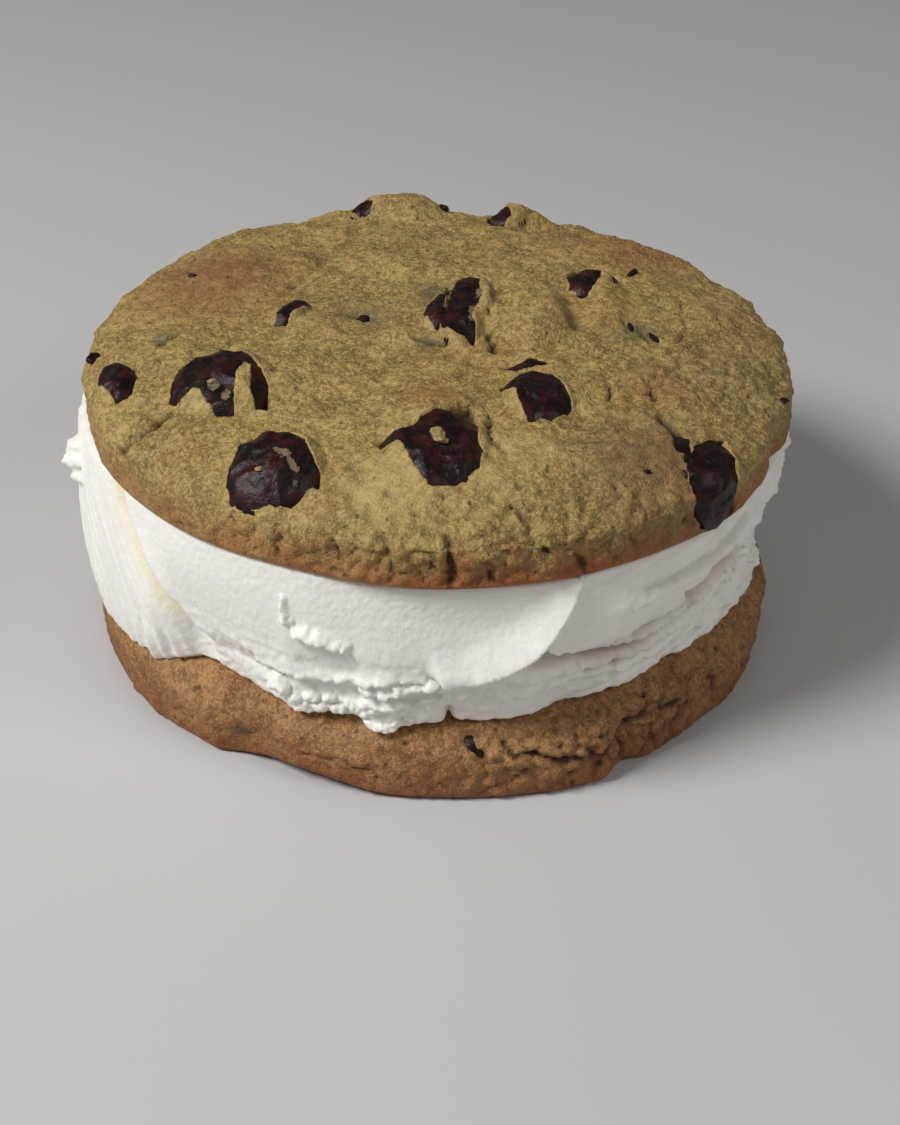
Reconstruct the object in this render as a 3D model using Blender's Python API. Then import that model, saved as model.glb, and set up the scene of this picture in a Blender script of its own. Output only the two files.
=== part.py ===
"""Ice cream sandwich: a thick round of vanilla ice cream between two chocolate chip cookies.

Metres, +Z up. The origin is the middle of the lower cookie's flat underside, and the front faces -Y.
Angles are in degrees round +Z from +X, so the front is at -90 and the left at -180.
"""

import math
from collections import namedtuple

import bmesh
import bpy

MM = 0.001

# Driving dimensions.
COOKIE_RADIUS = 45 * MM
COOKIE_HEIGHT = 11 * MM
WIDEST_HEIGHT = 4.8 * MM
UNDERSIDE_RADIUS = 39 * MM
ICE_CREAM_RADIUS = 43.6 * MM
CLEARANCE = 0.3 * MM

# Fineness of the faceted surfaces.
SEGMENTS = 80
DOME_STEPS = range(10, 90, 10)
WALL_ROWS = 11
CHIP_SEGMENTS = 10
CHIP_RINGS = 6

# Each cookie. Its base is the height of its underside.
# Waves run round its outline: (number round the edge, height, angle of one crest).
# Dents are where its edge spreads or is broken in: (angle, half width in degrees, outward).
# Its top falls from the middle to the rim as a superellipse: dome is (outward power, upward power).
# Swells and hollows lie in its top: (x, y, reach, height).
Cookie = namedtuple("Cookie", "name base waves dents dome swells")

LOWER_COOKIE = Cookie(
    name="lower_cookie",
    base=0.0,
    waves=((2, 0.25 * MM, 10), (5, 0.30 * MM, -78), (9, 0.18 * MM, -60), (14, 0.12 * MM, 20)),
    dents=((-68, 17, 0.9 * MM), (-58.5, 5, -1.6 * MM), (-118, 8, -0.7 * MM), (-126, 5, 0.5 * MM)),
    dome=(7.0, 2.4),
    swells=(),
)
UPPER_COOKIE = Cookie(
    name="upper_cookie",
    base=30 * MM,
    waves=((3, 0.28 * MM, -110), (5, 0.22 * MM, -5), (8, 0.16 * MM, -45), (13, 0.10 * MM, 70)),
    dents=((-13, 7, 0.5 * MM), (-22, 4, -0.7 * MM)),
    dome=(3.0, 2.0),
    swells=(
        (10.0 * MM, 1.0 * MM, 10 * MM, 1.6 * MM),
        (-8.0 * MM, 37.5 * MM, 8 * MM, 2.2 * MM),
        (12.0 * MM, 35.5 * MM, 6 * MM, 1.4 * MM),
        (4.0 * MM, 42.0 * MM, 9 * MM, -1.4 * MM),
        (-24.0 * MM, -16.0 * MM, 9 * MM, 0.9 * MM),
        (-18.0 * MM, -32.0 * MM, 9 * MM, 0.8 * MM),
        (1.0 * MM, -27.0 * MM, 10 * MM, 0.9 * MM),
        (25.0 * MM, -3.0 * MM, 8 * MM, 0.8 * MM),
        (26.0 * MM, -29.0 * MM, 8 * MM, 0.7 * MM),
        (-30.0 * MM, 14.0 * MM, 12 * MM, 0.7 * MM),
        (-16.0 * MM, 22.0 * MM, 12 * MM, -0.8 * MM),
        (-8.0 * MM, -12.0 * MM, 9 * MM, -0.7 * MM),
        (20.0 * MM, -18.0 * MM, 6 * MM, -0.6 * MM),
    ),
)

# Chocolate chips set in the upper cookie. Length and width are across the top, rise is how far the crown
# stands above the dough, turn is the long side's direction and corners the number of blunt corners.
CHIPS = {
    # name: (x, y, length, width, depth, rise, turn, corners), in millimetres and degrees
    "chip_left": (-25.4, -17.3, 12.6, 12.2, 5.0, 1.1, 20, 3),
    "chip_front_left": (-18.0, -34.2, 11.0, 10.4, 5.0, 1.0, 75, 3),
    "chip_front": (0.2, -30.2, 12.8, 11.6, 5.0, 1.1, 75, 3),
    "chip_front_right": (11.3, -20.2, 9.6, 8.4, 4.6, 1.1, 95, 3),
    "chip_sunken": (10.2, -12.2, 7.6, 3.4, 3.0, 0.3, 15, 2),
    "chip_middle": (3.7, 0.4, 13.6, 4.8, 5.0, 1.3, 92, 2),
    "chip_middle_left": (-0.8, -0.6, 7.4, 3.4, 4.0, 1.0, 85, 2),
    "chip_inner_left": (-18.9, 0.6, 6.4, 4.0, 3.5, 0.6, 60, 2),
    "chip_far_left": (-39.3, -13.0, 8.0, 5.4, 4.4, 0.7, 106, 2),
    "chip_back_right": (19.6, 10.8, 7.8, 6.4, 4.0, 1.0, 80, 3),
    "chip_back": (9.8, 34.8, 6.4, 5.2, 4.5, 1.5, 0, 3),
    "chip_back_left": (-12.0, 37.0, 5.0, 4.2, 4.0, 1.3, 30, 2),
}

# The chip at the right of the rim stands on edge, leans inwards and shows on the cookie's side.
RIM_CHIP_ANGLE = -43.5
RIM_CHIP_RADIUS = 42.4 * MM
RIM_CHIP_HEIGHT = 34.9 * MM
RIM_CHIP_SIZE = (6.6 * MM, 5.6 * MM, 8.8 * MM)
RIM_CHIP_LEAN = -22

# The chip set low in the front of the lower cookie.
LOW_CHIP_ANGLE = -84
LOW_CHIP_RADIUS = 43.0 * MM
LOW_CHIP_HEIGHT = 6.6 * MM
LOW_CHIP_SIZE = (3.4 * MM, 3.2 * MM, 4.6 * MM)
LOW_CHIP_LEAN = 32

# Ice cream: the height of its lower lip, its flat top under the upper cookie, and its slumps and smears.
# A fold or crest runs straight from its foot to its head: (angle, height).
LIP_HEIGHT = 10.2 * MM
LIP_OVERHANG = 0.5 * MM
LIP_TUCK = 0.9 * MM
TOP_HEIGHT = UPPER_COOKIE.base - CLEARANCE
TOP_TUCK = 0.3 * MM
TOP_FACE_RADIUS = 40.5 * MM
SEAT_FROM_STEP = 60
BELLY = 0.9 * MM
RIGHT_TAPER = 2.2 * MM
LEFT_LOBE = 2.8 * MM
FOLD_GROOVE = 1.3 * MM
FOLD_FOOT = (-132, 14 * MM)
FOLD_HEAD = (-147, 28 * MM)
CREST_FOOT = (-88, 15 * MM)
CREST_HEAD = (-66, 28 * MM)
CREST_RISE = 1.5 * MM
DRAG_RIDGES = 0.45 * MM
BACK_RIDGES = 0.6 * MM


def clamp(value):
    return min(1.0, max(0.0, value))


def ease(value):
    """Rises smoothly from 0 to 1 as the value does."""
    value = clamp(value)
    return value * value * (3 - 2 * value)


def bump(distance, reach):
    """A round bump: 1 in the middle and 0 beyond its reach."""
    return clamp(1 - (distance / reach) ** 2) ** 2


def angle_between(first, second):
    """The signed turn from the second angle to the first, from -180 to 180 degrees."""
    return (first - second + 180) % 360 - 180


def waves_at(angle, waves):
    return sum(height * math.cos(math.radians(count * (angle - crest))) for count, height, crest in waves)


def edge_radius(cookie, angle):
    """The radius of a cookie's uneven outline."""
    dented = sum(depth * bump(angle_between(angle, place), reach) for place, reach, depth in cookie.dents)
    return COOKIE_RADIUS + waves_at(angle, cookie.waves) + dented


def relief(cookie, x, y):
    return sum(
        height * bump(math.hypot(x - at_x, y - at_y), reach) for at_x, at_y, reach, height in cookie.swells
    )


def point_at(radius, angle, height):
    turn = math.radians(angle)
    return (radius * math.cos(turn), radius * math.sin(turn), height)


def round_the_edge():
    return [360 * step / SEGMENTS for step in range(SEGMENTS)]


def dome_point(cookie, step, angle):
    """A point on a cookie's top; the step runs from 0 at the rim to 90 at the middle."""
    outward, upward = cookie.dome
    radius = edge_radius(cookie, angle) * math.cos(math.radians(step)) ** (2 / outward)
    rise = (COOKIE_HEIGHT - WIDEST_HEIGHT) * math.sin(math.radians(step)) ** (2 / upward)
    x, y, height = point_at(radius, angle, cookie.base + WIDEST_HEIGHT + rise)
    return (x, y, height + relief(cookie, x, y))


def surface_height(cookie, x, y):
    """The height of a cookie's top above a place inside its outline."""
    outward, upward = cookie.dome
    radius = edge_radius(cookie, math.degrees(math.atan2(y, x)))
    fall = clamp(1 - (math.hypot(x, y) / radius) ** outward) ** (1 / upward)
    rise = (COOKIE_HEIGHT - WIDEST_HEIGHT) * fall
    return cookie.base + WIDEST_HEIGHT + rise + relief(cookie, x, y)


def cookie_rings(cookie):
    """The flat underside's edge, the lower half of the rim up to its widest, and the dome."""
    angles = round_the_edge()
    rings = [[point_at(UNDERSIDE_RADIUS, angle, cookie.base) for angle in angles]]
    for inset, share in ((1.1 * MM, 0.14), (0.25 * MM, 0.45), (0.0, 1.0)):
        height = cookie.base + WIDEST_HEIGHT * share
        rings.append([point_at(edge_radius(cookie, angle) - inset, angle, height) for angle in angles])
    rings += [[dome_point(cookie, step, angle) for angle in angles] for step in DOME_STEPS]
    return rings


def link_object(name, mesh):
    shape = bpy.data.objects.new(name, mesh)
    bpy.context.scene.collection.objects.link(shape)
    return shape


def rings_to_object(name, rings, peak):
    """Skins rings, bottom first, with a flat face below and a fan to the peak or a flat face above."""
    shell = bmesh.new()
    loops = [[shell.verts.new(point) for point in ring] for ring in rings]
    for low, high in zip(loops, loops[1:]):
        for place in range(len(low)):
            following = (place + 1) % len(low)
            shell.faces.new((low[place], low[following], high[following], high[place]))
    shell.faces.new(list(reversed(loops[0])))
    if peak is None:
        shell.faces.new(loops[-1])
    else:
        tip = shell.verts.new(peak)
        for place in range(len(loops[-1])):
            following = (place + 1) % len(loops[-1])
            shell.faces.new((loops[-1][place], loops[-1][following], tip))
    bmesh.ops.recalc_face_normals(shell, faces=shell.faces)
    mesh = bpy.data.meshes.new(name)
    shell.to_mesh(mesh)
    shell.free()
    mesh.shade_smooth()
    mesh.set_sharp_from_angle(angle=math.radians(50))
    return link_object(name, mesh)


def finish_material(name, colour, roughness):
    material = bpy.data.materials.new(name)
    material.use_nodes = True
    surface = material.node_tree.nodes["Principled BSDF"]
    surface.inputs["Base Color"].default_value = (*colour, 1.0)
    surface.inputs["Roughness"].default_value = roughness
    surface.inputs["Metallic"].default_value = 0.0
    return material


def make_cookie(cookie, dough):
    shape = rings_to_object(cookie.name, cookie_rings(cookie), (0, 0, surface_height(cookie, 0, 0)))
    shape.data.materials.append(dough)
    return shape


def along(place, foot, head):
    """How far up the line from foot to head a height lies, from 0 to 1, and the line's angle there."""
    share = (place - foot[1]) / (head[1] - foot[1])
    return share, foot[0] + share * (head[0] - foot[0])


def left_lobe(angle, height):
    """The big scoop of cream that bulges on the left and ends in a folded groove."""
    _, fold = along(height, FOLD_FOOT, FOLD_HEAD)
    before_fold = ease(angle_between(fold, angle) / 5)
    after_back = ease(angle_between(angle, 158) / 22)
    belly = 0.6 + 0.4 * math.sin(math.pi * clamp((height - LIP_HEIGHT) / (TOP_HEIGHT - LIP_HEIGHT)))
    groove = FOLD_GROOVE * bump(angle_between(angle, fold) - 1, 6)
    return LEFT_LOBE * before_fold * after_back * belly - groove


def wave_crest(angle, height):
    """The crest of the smeared wave on the front, hollow on its lower right side."""
    share, line = along(height, CREST_FOOT, CREST_HEAD)
    within = bump(share - 0.45, 0.75)
    away = angle_between(angle, line)
    return CREST_RISE * within * (bump(away, 8) - 0.8 * bump(away - 10, 9))


def drag_ridges(angle, height):
    """Ridges left by the knife, which climb to the right of the crest."""
    beyond = ease(angle_between(angle, -92) / 25) * ease(angle_between(15, angle) / 20)
    phase = (height / MM - 0.19 * angle_between(angle, -90)) * 1.15
    return DRAG_RIDGES * beyond * math.sin(phase)


def back_ridges(angle, height):
    """Slow ridges round the back, which lean as they go."""
    within = ease(angle_between(angle, 8) / 20) * ease(angle_between(172, angle) / 20)
    phase = height / MM * 0.75 + 0.11 * angle
    return BACK_RIDGES * within * math.sin(phase)


def right_taper(angle, height):
    """The cream draws in towards its lip on the right."""
    share = clamp((26 * MM - height) / (26 * MM - LIP_HEIGHT))
    return RIGHT_TAPER * ease(share) * ease(1.3 - abs(angle_between(angle, -5)) / 60)


def ice_cream_radius(angle, height):
    belly = BELLY * math.sin(math.pi * clamp((height - LIP_HEIGHT) / (TOP_HEIGHT - LIP_HEIGHT)))
    swell = left_lobe(angle, height) + wave_crest(angle, height)
    ridges = drag_ridges(angle, height) + back_ridges(angle, height)
    return ICE_CREAM_RADIUS - BELLY / 2 + belly + swell + ridges - right_taper(angle, height)


def lip_point(angle):
    """The ragged lower edge of the ice cream, which hangs just over the lower cookie's shoulder."""
    ragged = 0.35 * MM * math.sin(math.radians(7 * angle)) + 0.25 * MM * math.cos(math.radians(13 * angle))
    radius = ice_cream_radius(angle, LIP_HEIGHT) - LIP_TUCK
    x, y, height = point_at(radius, angle, LIP_HEIGHT + ragged)
    return (x, y, max(height, surface_height(LOWER_COOKIE, x, y) + LIP_OVERHANG))


def wall_ring(row):
    """One ring of the ice cream's side, from just above the lip to the top."""
    ring = []
    for angle in round_the_edge():
        foot = lip_point(angle)[2]
        height = foot + (TOP_HEIGHT - foot) * row / WALL_ROWS
        tucked = TOP_TUCK if row == WALL_ROWS else 0.0
        ring.append(point_at(ice_cream_radius(angle, height) - tucked, angle, height))
    return ring


def seat_ring(step):
    """One ring of the ice cream's underside, which follows the lower cookie's top."""
    ring = [dome_point(LOWER_COOKIE, step, angle) for angle in round_the_edge()]
    return [(x, y, height + CLEARANCE) for x, y, height in ring]


def make_ice_cream(cream):
    rings = [seat_ring(step) for step in reversed(DOME_STEPS) if step >= SEAT_FROM_STEP]
    rings.append([lip_point(angle) for angle in round_the_edge()])
    rings += [wall_ring(row) for row in range(1, WALL_ROWS + 1)]
    rings.append([point_at(TOP_FACE_RADIUS, angle, TOP_HEIGHT) for angle in round_the_edge()])
    slab = rings_to_object("ice_cream", rings, None)
    slab.data.materials.append(cream)
    return slab


def morsel_rings(size, corners, spare):
    """A chip lying on its side: flat below, drawn to a blunt nub above, with soft corners round it."""
    length, width, depth = size
    rings = []
    for ring in range(1, CHIP_RINGS + 1):
        down = math.pi * (1 - ring / (CHIP_RINGS + 1))
        height = -math.cos(math.pi - down) * depth / 2
        reach = math.sin(down) ** 0.85 * (1 - 0.18 * math.cos(down - math.pi))
        points = []
        for segment in range(CHIP_SEGMENTS):
            turn = 2 * math.pi * segment / CHIP_SEGMENTS
            blunt = 1 + 0.10 * math.cos(corners * turn)
            x = (length / 2 * reach * blunt + spare * reach) * math.cos(turn)
            y = (width / 2 * reach * blunt + spare * reach) * math.sin(turn)
            points.append((x, y, height + spare * height / (depth / 2)))
        rings.append(points)
    return rings


def make_chip(name, size, corners, chocolate, spare=0.0):
    rings = morsel_rings(size, corners, spare)
    chip = rings_to_object(name, rings, (0, 0, size[2] / 2 + spare))
    chip.data.materials.append(chocolate)
    return chip


def set_chip(cookie, name, size, corners, chocolate, location, rotation):
    """Sets a chip in a cookie, in a pocket that leaves the clearance all round it."""
    for spare in (0.0, CLEARANCE):
        chip = make_chip(name if not spare else name + "_pocket", size, corners, chocolate, spare)
        chip.location = location
        chip.rotation_euler = rotation
        if spare:
            chip.hide_render = True
            chip.display_type = "WIRE"
            pocket = cookie.modifiers.new(name + "_pocket", "BOOLEAN")
            pocket.operation = "DIFFERENCE"
            pocket.object = chip


def surface_tilt(cookie, x, y):
    """The turns about X and Y that lay a chip along the cookie's slope."""
    reach = 1 * MM
    along_x = surface_height(cookie, x + reach, y) - surface_height(cookie, x - reach, y)
    along_y = surface_height(cookie, x, y + reach) - surface_height(cookie, x, y - reach)
    return math.atan(along_y / (2 * reach)), -math.atan(along_x / (2 * reach))


def set_top_chips(cookie, chocolate):
    for name, (x, y, length, width, depth, rise, turn, corners) in CHIPS.items():
        x, y = x * MM, y * MM
        height = surface_height(UPPER_COOKIE, x, y) + (rise - depth / 2) * MM
        rotation = (*surface_tilt(UPPER_COOKIE, x, y), math.radians(turn))
        size = (length * MM, width * MM, depth * MM)
        set_chip(cookie, name, size, corners, chocolate, (x, y, height), rotation)


def set_rim_chips(lower_cookie, upper_cookie, chocolate):
    rim_place = point_at(RIM_CHIP_RADIUS, RIM_CHIP_ANGLE, RIM_CHIP_HEIGHT)
    rim_turn = (0, math.radians(RIM_CHIP_LEAN), math.radians(RIM_CHIP_ANGLE))
    set_chip(upper_cookie, "chip_rim", RIM_CHIP_SIZE, 2, chocolate, rim_place, rim_turn)
    low_place = point_at(LOW_CHIP_RADIUS, LOW_CHIP_ANGLE, LOW_CHIP_HEIGHT)
    low_turn = (math.radians(LOW_CHIP_LEAN), 0, math.radians(LOW_CHIP_ANGLE))
    set_chip(lower_cookie, "chip_low", LOW_CHIP_SIZE, 2, chocolate, low_place, low_turn)


def clear_scene():
    for shape in list(bpy.data.objects):
        bpy.data.objects.remove(shape, do_unlink=True)


def build():
    clear_scene()
    lower_dough = finish_material("lower_dough", (0.26, 0.12, 0.045), 0.85)
    upper_dough = finish_material("upper_dough", (0.27, 0.19, 0.075), 0.85)
    cream = finish_material("vanilla_ice_cream", (0.86, 0.83, 0.74), 0.45)
    chocolate = finish_material("dark_chocolate", (0.012, 0.005, 0.004), 0.35)
    lower_cookie = make_cookie(LOWER_COOKIE, lower_dough)
    make_ice_cream(cream)
    upper_cookie = make_cookie(UPPER_COOKIE, upper_dough)
    set_top_chips(upper_cookie, chocolate)
    set_rim_chips(lower_cookie, upper_cookie, chocolate)


build()
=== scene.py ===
import itertools
import math
from collections import namedtuple

import bpy
import numpy as np
from mathutils import Euler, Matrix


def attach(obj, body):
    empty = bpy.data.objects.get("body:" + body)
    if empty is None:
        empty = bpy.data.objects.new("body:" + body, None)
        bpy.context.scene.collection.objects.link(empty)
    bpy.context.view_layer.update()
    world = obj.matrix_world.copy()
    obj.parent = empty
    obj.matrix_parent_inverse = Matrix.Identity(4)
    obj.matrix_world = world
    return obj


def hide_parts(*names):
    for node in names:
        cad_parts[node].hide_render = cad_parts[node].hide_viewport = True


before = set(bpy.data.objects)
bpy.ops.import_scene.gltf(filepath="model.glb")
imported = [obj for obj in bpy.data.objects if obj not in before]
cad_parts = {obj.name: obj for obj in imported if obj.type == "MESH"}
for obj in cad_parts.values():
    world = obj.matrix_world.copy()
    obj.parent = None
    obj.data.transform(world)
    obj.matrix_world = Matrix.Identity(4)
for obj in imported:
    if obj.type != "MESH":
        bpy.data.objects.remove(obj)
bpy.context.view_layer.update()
MM = 0.001

# Lower cookie: a disc of drop-cookie dough, baked until its edge is brown and cracked.
# It is turned to its outline, skinned with small even faces, and its crumb, cracks and
# blisters are then worked into the skin. It lies flat on its underside.
Dough = namedtuple("Dough", "base widest height radius outward upward waves dents swells")
LOWER_DOUGH = Dough(
    base=0.0,
    widest=4.8,
    height=11.0,
    radius=45.0,
    outward=7.0,
    upward=2.4,
    waves=((2, 0.25, 10), (5, 0.30, -78), (9, 0.18, -60), (14, 0.12, 20)),
    dents=((-68, 17, 0.9), (-58.5, 5, -1.6), (-118, 8, -0.7), (-126, 5, 0.5), (-10, 30, -1.2)),
    swells=(),
)


def turned_solid(name, outline, sides=240):
    """A closed solid of revolution: a disc extruded and widened ring by ring up its outline."""
    bpy.ops.object.select_all(action="DESELECT")
    radius, height = outline[0]
    bpy.ops.mesh.primitive_circle_add(
        vertices=sides, radius=radius * MM, fill_type="NGON", location=(0, 0, height * MM)
    )
    solid = bpy.context.object
    solid.name = name
    solid.data.name = name
    bpy.ops.object.mode_set(mode="EDIT")
    bpy.ops.mesh.select_all(action="SELECT")
    for (narrow, low), (wide, high) in itertools.pairwise(outline):
        bpy.ops.mesh.extrude_region_move(
            TRANSFORM_OT_translate={"value": (0, 0, (high - low) * MM)}
        )
        growth = wide / narrow
        bpy.ops.transform.resize(
            value=(growth, growth, 1), center_override=(0, 0, high * MM)
        )
    bpy.ops.mesh.select_all(action="SELECT")
    bpy.ops.mesh.normals_make_consistent(inside=False)
    bpy.ops.object.mode_set(mode="OBJECT")
    bpy.ops.object.transform_apply(location=True, rotation=True, scale=True)
    return solid


def skin(piece, grain):
    """Gives a solid a skin of small even faces."""
    modifier = piece.modifiers.new("skin", "REMESH")
    modifier.mode = "VOXEL"
    modifier.voxel_size = grain * MM
    bpy.context.view_layer.objects.active = piece
    bpy.ops.object.modifier_apply(modifier=modifier.name)


def face_centres(piece):
    centres = np.empty(len(piece.data.polygons) * 3)
    piece.data.polygons.foreach_get("center", centres)
    return centres.reshape(-1, 3) / MM


def edit_faces(piece, chosen, operator, **settings):
    """Runs an edit-mode operator on the chosen faces only."""
    bpy.ops.object.select_all(action="DESELECT")
    piece.select_set(True)
    bpy.context.view_layer.objects.active = piece
    bpy.context.tool_settings.mesh_select_mode = (False, False, True)
    bpy.ops.object.mode_set(mode="EDIT")
    bpy.ops.mesh.select_all(action="DESELECT")
    bpy.ops.object.mode_set(mode="OBJECT")
    piece.data.polygons.foreach_set("select", chosen)
    bpy.ops.object.mode_set(mode="EDIT")
    operator(**settings)
    bpy.ops.object.mode_set(mode="OBJECT")


def read_points(piece):
    points = np.empty(len(piece.data.vertices) * 3)
    piece.data.vertices.foreach_get("co", points)
    return points.reshape(-1, 3) / MM


def write_points(piece, points):
    piece.data.vertices.foreach_set("co", (points * MM).ravel())
    piece.data.update()


def read_normals(piece):
    normals = np.empty(len(piece.data.vertices) * 3)
    piece.data.vertices.foreach_get("normal", normals)
    return normals.reshape(-1, 3)


def keep_values(piece, name, values):
    """Stores one number for each point, which the materials read by its name."""
    attribute = piece.data.attributes.new(name, "FLOAT", "POINT")
    attribute.data.foreach_set("value", np.asarray(values, np.float32))


def ease(value):
    value = np.clip(value, 0, 1)
    return value * value * (3 - 2 * value)


def bump(distance, reach):
    """A smooth hump that is 1 at no distance and 0 past its reach."""
    return ease(1 - np.abs(distance) / reach)


def turn_between(first, second):
    """The angle in degrees from one direction to another, between -180 and 180."""
    return (first - second + 180) % 360 - 180


def hashed(cell, seed):
    """An even scramble of whole-number cells into numbers from 0 to 255."""
    key = (cell * (73856093, 19349663, 83492791)).sum(axis=-1) + seed * 2654435761
    key = (key ^ (key >> 13)) * 1274126177
    return ((key ^ (key >> 16)) & 255).astype(np.int64)


random_steps = np.random.default_rng(11).normal(size=(256, 3))
random_steps /= np.linalg.norm(random_steps, axis=1, keepdims=True)
random_shares = np.random.default_rng(12).random((256, 4))


def lumps(points, size, seed):
    """Smooth random swells, from about -1 to 1 and about one size across."""
    scaled = points / size + seed * 7.31
    cell = np.floor(scaled).astype(np.int64)
    part = scaled - cell
    fade = part**3 * (part * (part * 6 - 15) + 10)
    total = np.zeros(len(points))
    for corner in itertools.product((0, 1), repeat=3):
        step = random_steps[hashed(cell + corner, seed)]
        weight = np.prod(np.where(corner, fade, 1 - fade), axis=1)
        total += weight * (step * (part - corner)).sum(axis=1)
    return total * 1.6


def crumbs(points, size, seed):
    """Distance to the nearest crumb's middle and to the crack beside it, and a share from 0 to 1."""
    scaled = points / size
    cell = np.floor(scaled).astype(np.int64)
    nearest = np.full(len(points), 9.0)
    second = np.full(len(points), 9.0)
    share = np.zeros(len(points))
    for corner in itertools.product((-1, 0, 1), repeat=3):
        drawn = random_shares[hashed(cell + corner, seed)]
        apart = np.linalg.norm(cell + corner + drawn[:, :3] - scaled, axis=1)
        closer = apart < nearest
        second = np.where(closer, nearest, np.minimum(second, apart))
        share = np.where(closer, drawn[:, 3], share)
        nearest = np.minimum(nearest, apart)
    return nearest * size, (second - nearest) * size, share


def edge_radius(dough, angle):
    """The radius of a cookie's uneven edge."""
    radius = np.full_like(angle, dough.radius)
    for count, height, start in dough.waves:
        radius += height * np.cos(np.radians(count * (angle - start)))
    for middle, reach, height in dough.dents:
        radius += height * bump(turn_between(angle, middle), reach)
    return radius


def dough_outline(dough, rounding=1.1, edge_steps=5, dome_steps=14):
    """Radius and height up the edge of an even cookie, from its underside over its dome."""
    points = []
    for turn in np.linspace(0, 90, edge_steps):
        inward = rounding * (1 - math.sin(math.radians(turn)))
        rise = rounding * (1 - math.cos(math.radians(turn)))
        points.append((dough.radius - inward, dough.base + rise))
    crown = dough.base + dough.height - (dough.base + dough.widest)
    for turn in np.linspace(4, 88, dome_steps):
        radius = dough.radius * math.cos(math.radians(turn)) ** (2 / dough.outward)
        rise = crown * math.sin(math.radians(turn)) ** (2 / dough.upward)
        points.append((radius, dough.base + dough.widest + rise))
    return points


def pressed_to_dome(dough, points):
    """Moves points near a cookie's even dome or wall onto it."""
    shoulder = dough.base + dough.widest
    crown = dough.height - dough.widest
    moved = points.copy()
    rise = points[:, 2] - shoulder
    upper = rise > 0
    out = (np.hypot(points[:, 0], points[:, 1]) / dough.radius) ** dough.outward
    up = (np.maximum(rise, 0) / crown) ** dough.upward
    scale = np.ones(len(points))
    for _ in range(8):
        value = scale**dough.outward * out + scale**dough.upward * up - 1
        slope = dough.outward * scale ** (dough.outward - 1) * out
        slope = slope + dough.upward * scale ** (dough.upward - 1) * up
        scale = np.clip(scale - value / np.maximum(slope, 0.2), 0.9, 1.1)
    moved[upper, :2] *= scale[upper, None]
    moved[upper, 2] = shoulder + rise[upper] * scale[upper]
    return moved


def top_height(dough, x, y):
    """The height of the even dome above a place inside the edge."""
    out = np.clip(np.hypot(x, y) / dough.radius, 0, 1) ** dough.outward
    crown = dough.height - dough.widest
    return dough.base + dough.widest + crown * (1 - out) ** (1 / dough.upward)


def on_rim(dough, angle, height):
    """A place on the even edge at an angle in degrees and a height."""
    crown = dough.height - dough.widest
    up = np.clip((height - dough.base - dough.widest) / crown, 0, 1) ** dough.upward
    radius = dough.radius * (1 - up) ** (1 / dough.outward)
    turn = math.radians(angle)
    return (radius * math.cos(turn), radius * math.sin(turn), height)


def distance_to_line(points, line):
    """Distance from points to a line of straight stretches."""
    nearest = np.full(len(points), 99.0)
    for start, end in itertools.pairwise(np.array(line, float)):
        along = end - start
        share = np.clip((points - start) @ along / (along @ along), 0, 1)
        away = np.linalg.norm(points - start - share[:, None] * along, axis=1)
        nearest = np.minimum(nearest, away)
    return nearest


def crack_depth(points, cracks):
    """How deep the listed cracks cut at each point. They wander, and narrow as they go down."""
    wander = np.stack([lumps(points, 1.6, 40 + axis) for axis in range(3)], axis=1)
    ragged = points + 0.5 * wander
    depth = np.zeros(len(points))
    for line, width, deep in cracks:
        low = np.min(line, axis=0) - width - 1
        high = np.max(line, axis=0) + width + 1
        near = ((points > low) & (points < high)).all(axis=1)
        away = distance_to_line(ragged[near], line)
        depth[near] = np.maximum(depth[near], deep * ease(1 - away / width))
    return depth


def shape_outline(dough, points):
    """Gives an even cookie its uneven edge and the swells of its top."""
    angle = np.degrees(np.arctan2(points[:, 1], points[:, 0]))
    radius = np.hypot(points[:, 0], points[:, 1])
    stretch = (edge_radius(dough, angle) / dough.radius - 1) * (radius / dough.radius) ** 2
    moved = points.copy()
    moved[:, :2] *= 1 + stretch[:, None]
    top = ease((points[:, 2] - dough.base - dough.widest) / 2.0)
    for x, y, long, wide, turn, height, steep in dough.swells:
        turn = math.radians(turn)
        right, back = points[:, 0] - x, points[:, 1] - y
        along = (right * math.cos(turn) + back * math.sin(turn)) / long
        beside = (back * math.cos(turn) - right * math.sin(turn)) / wide
        moved[:, 2] += top * height * ease(steep * (1 - np.hypot(along, beside)))
    return moved


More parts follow.
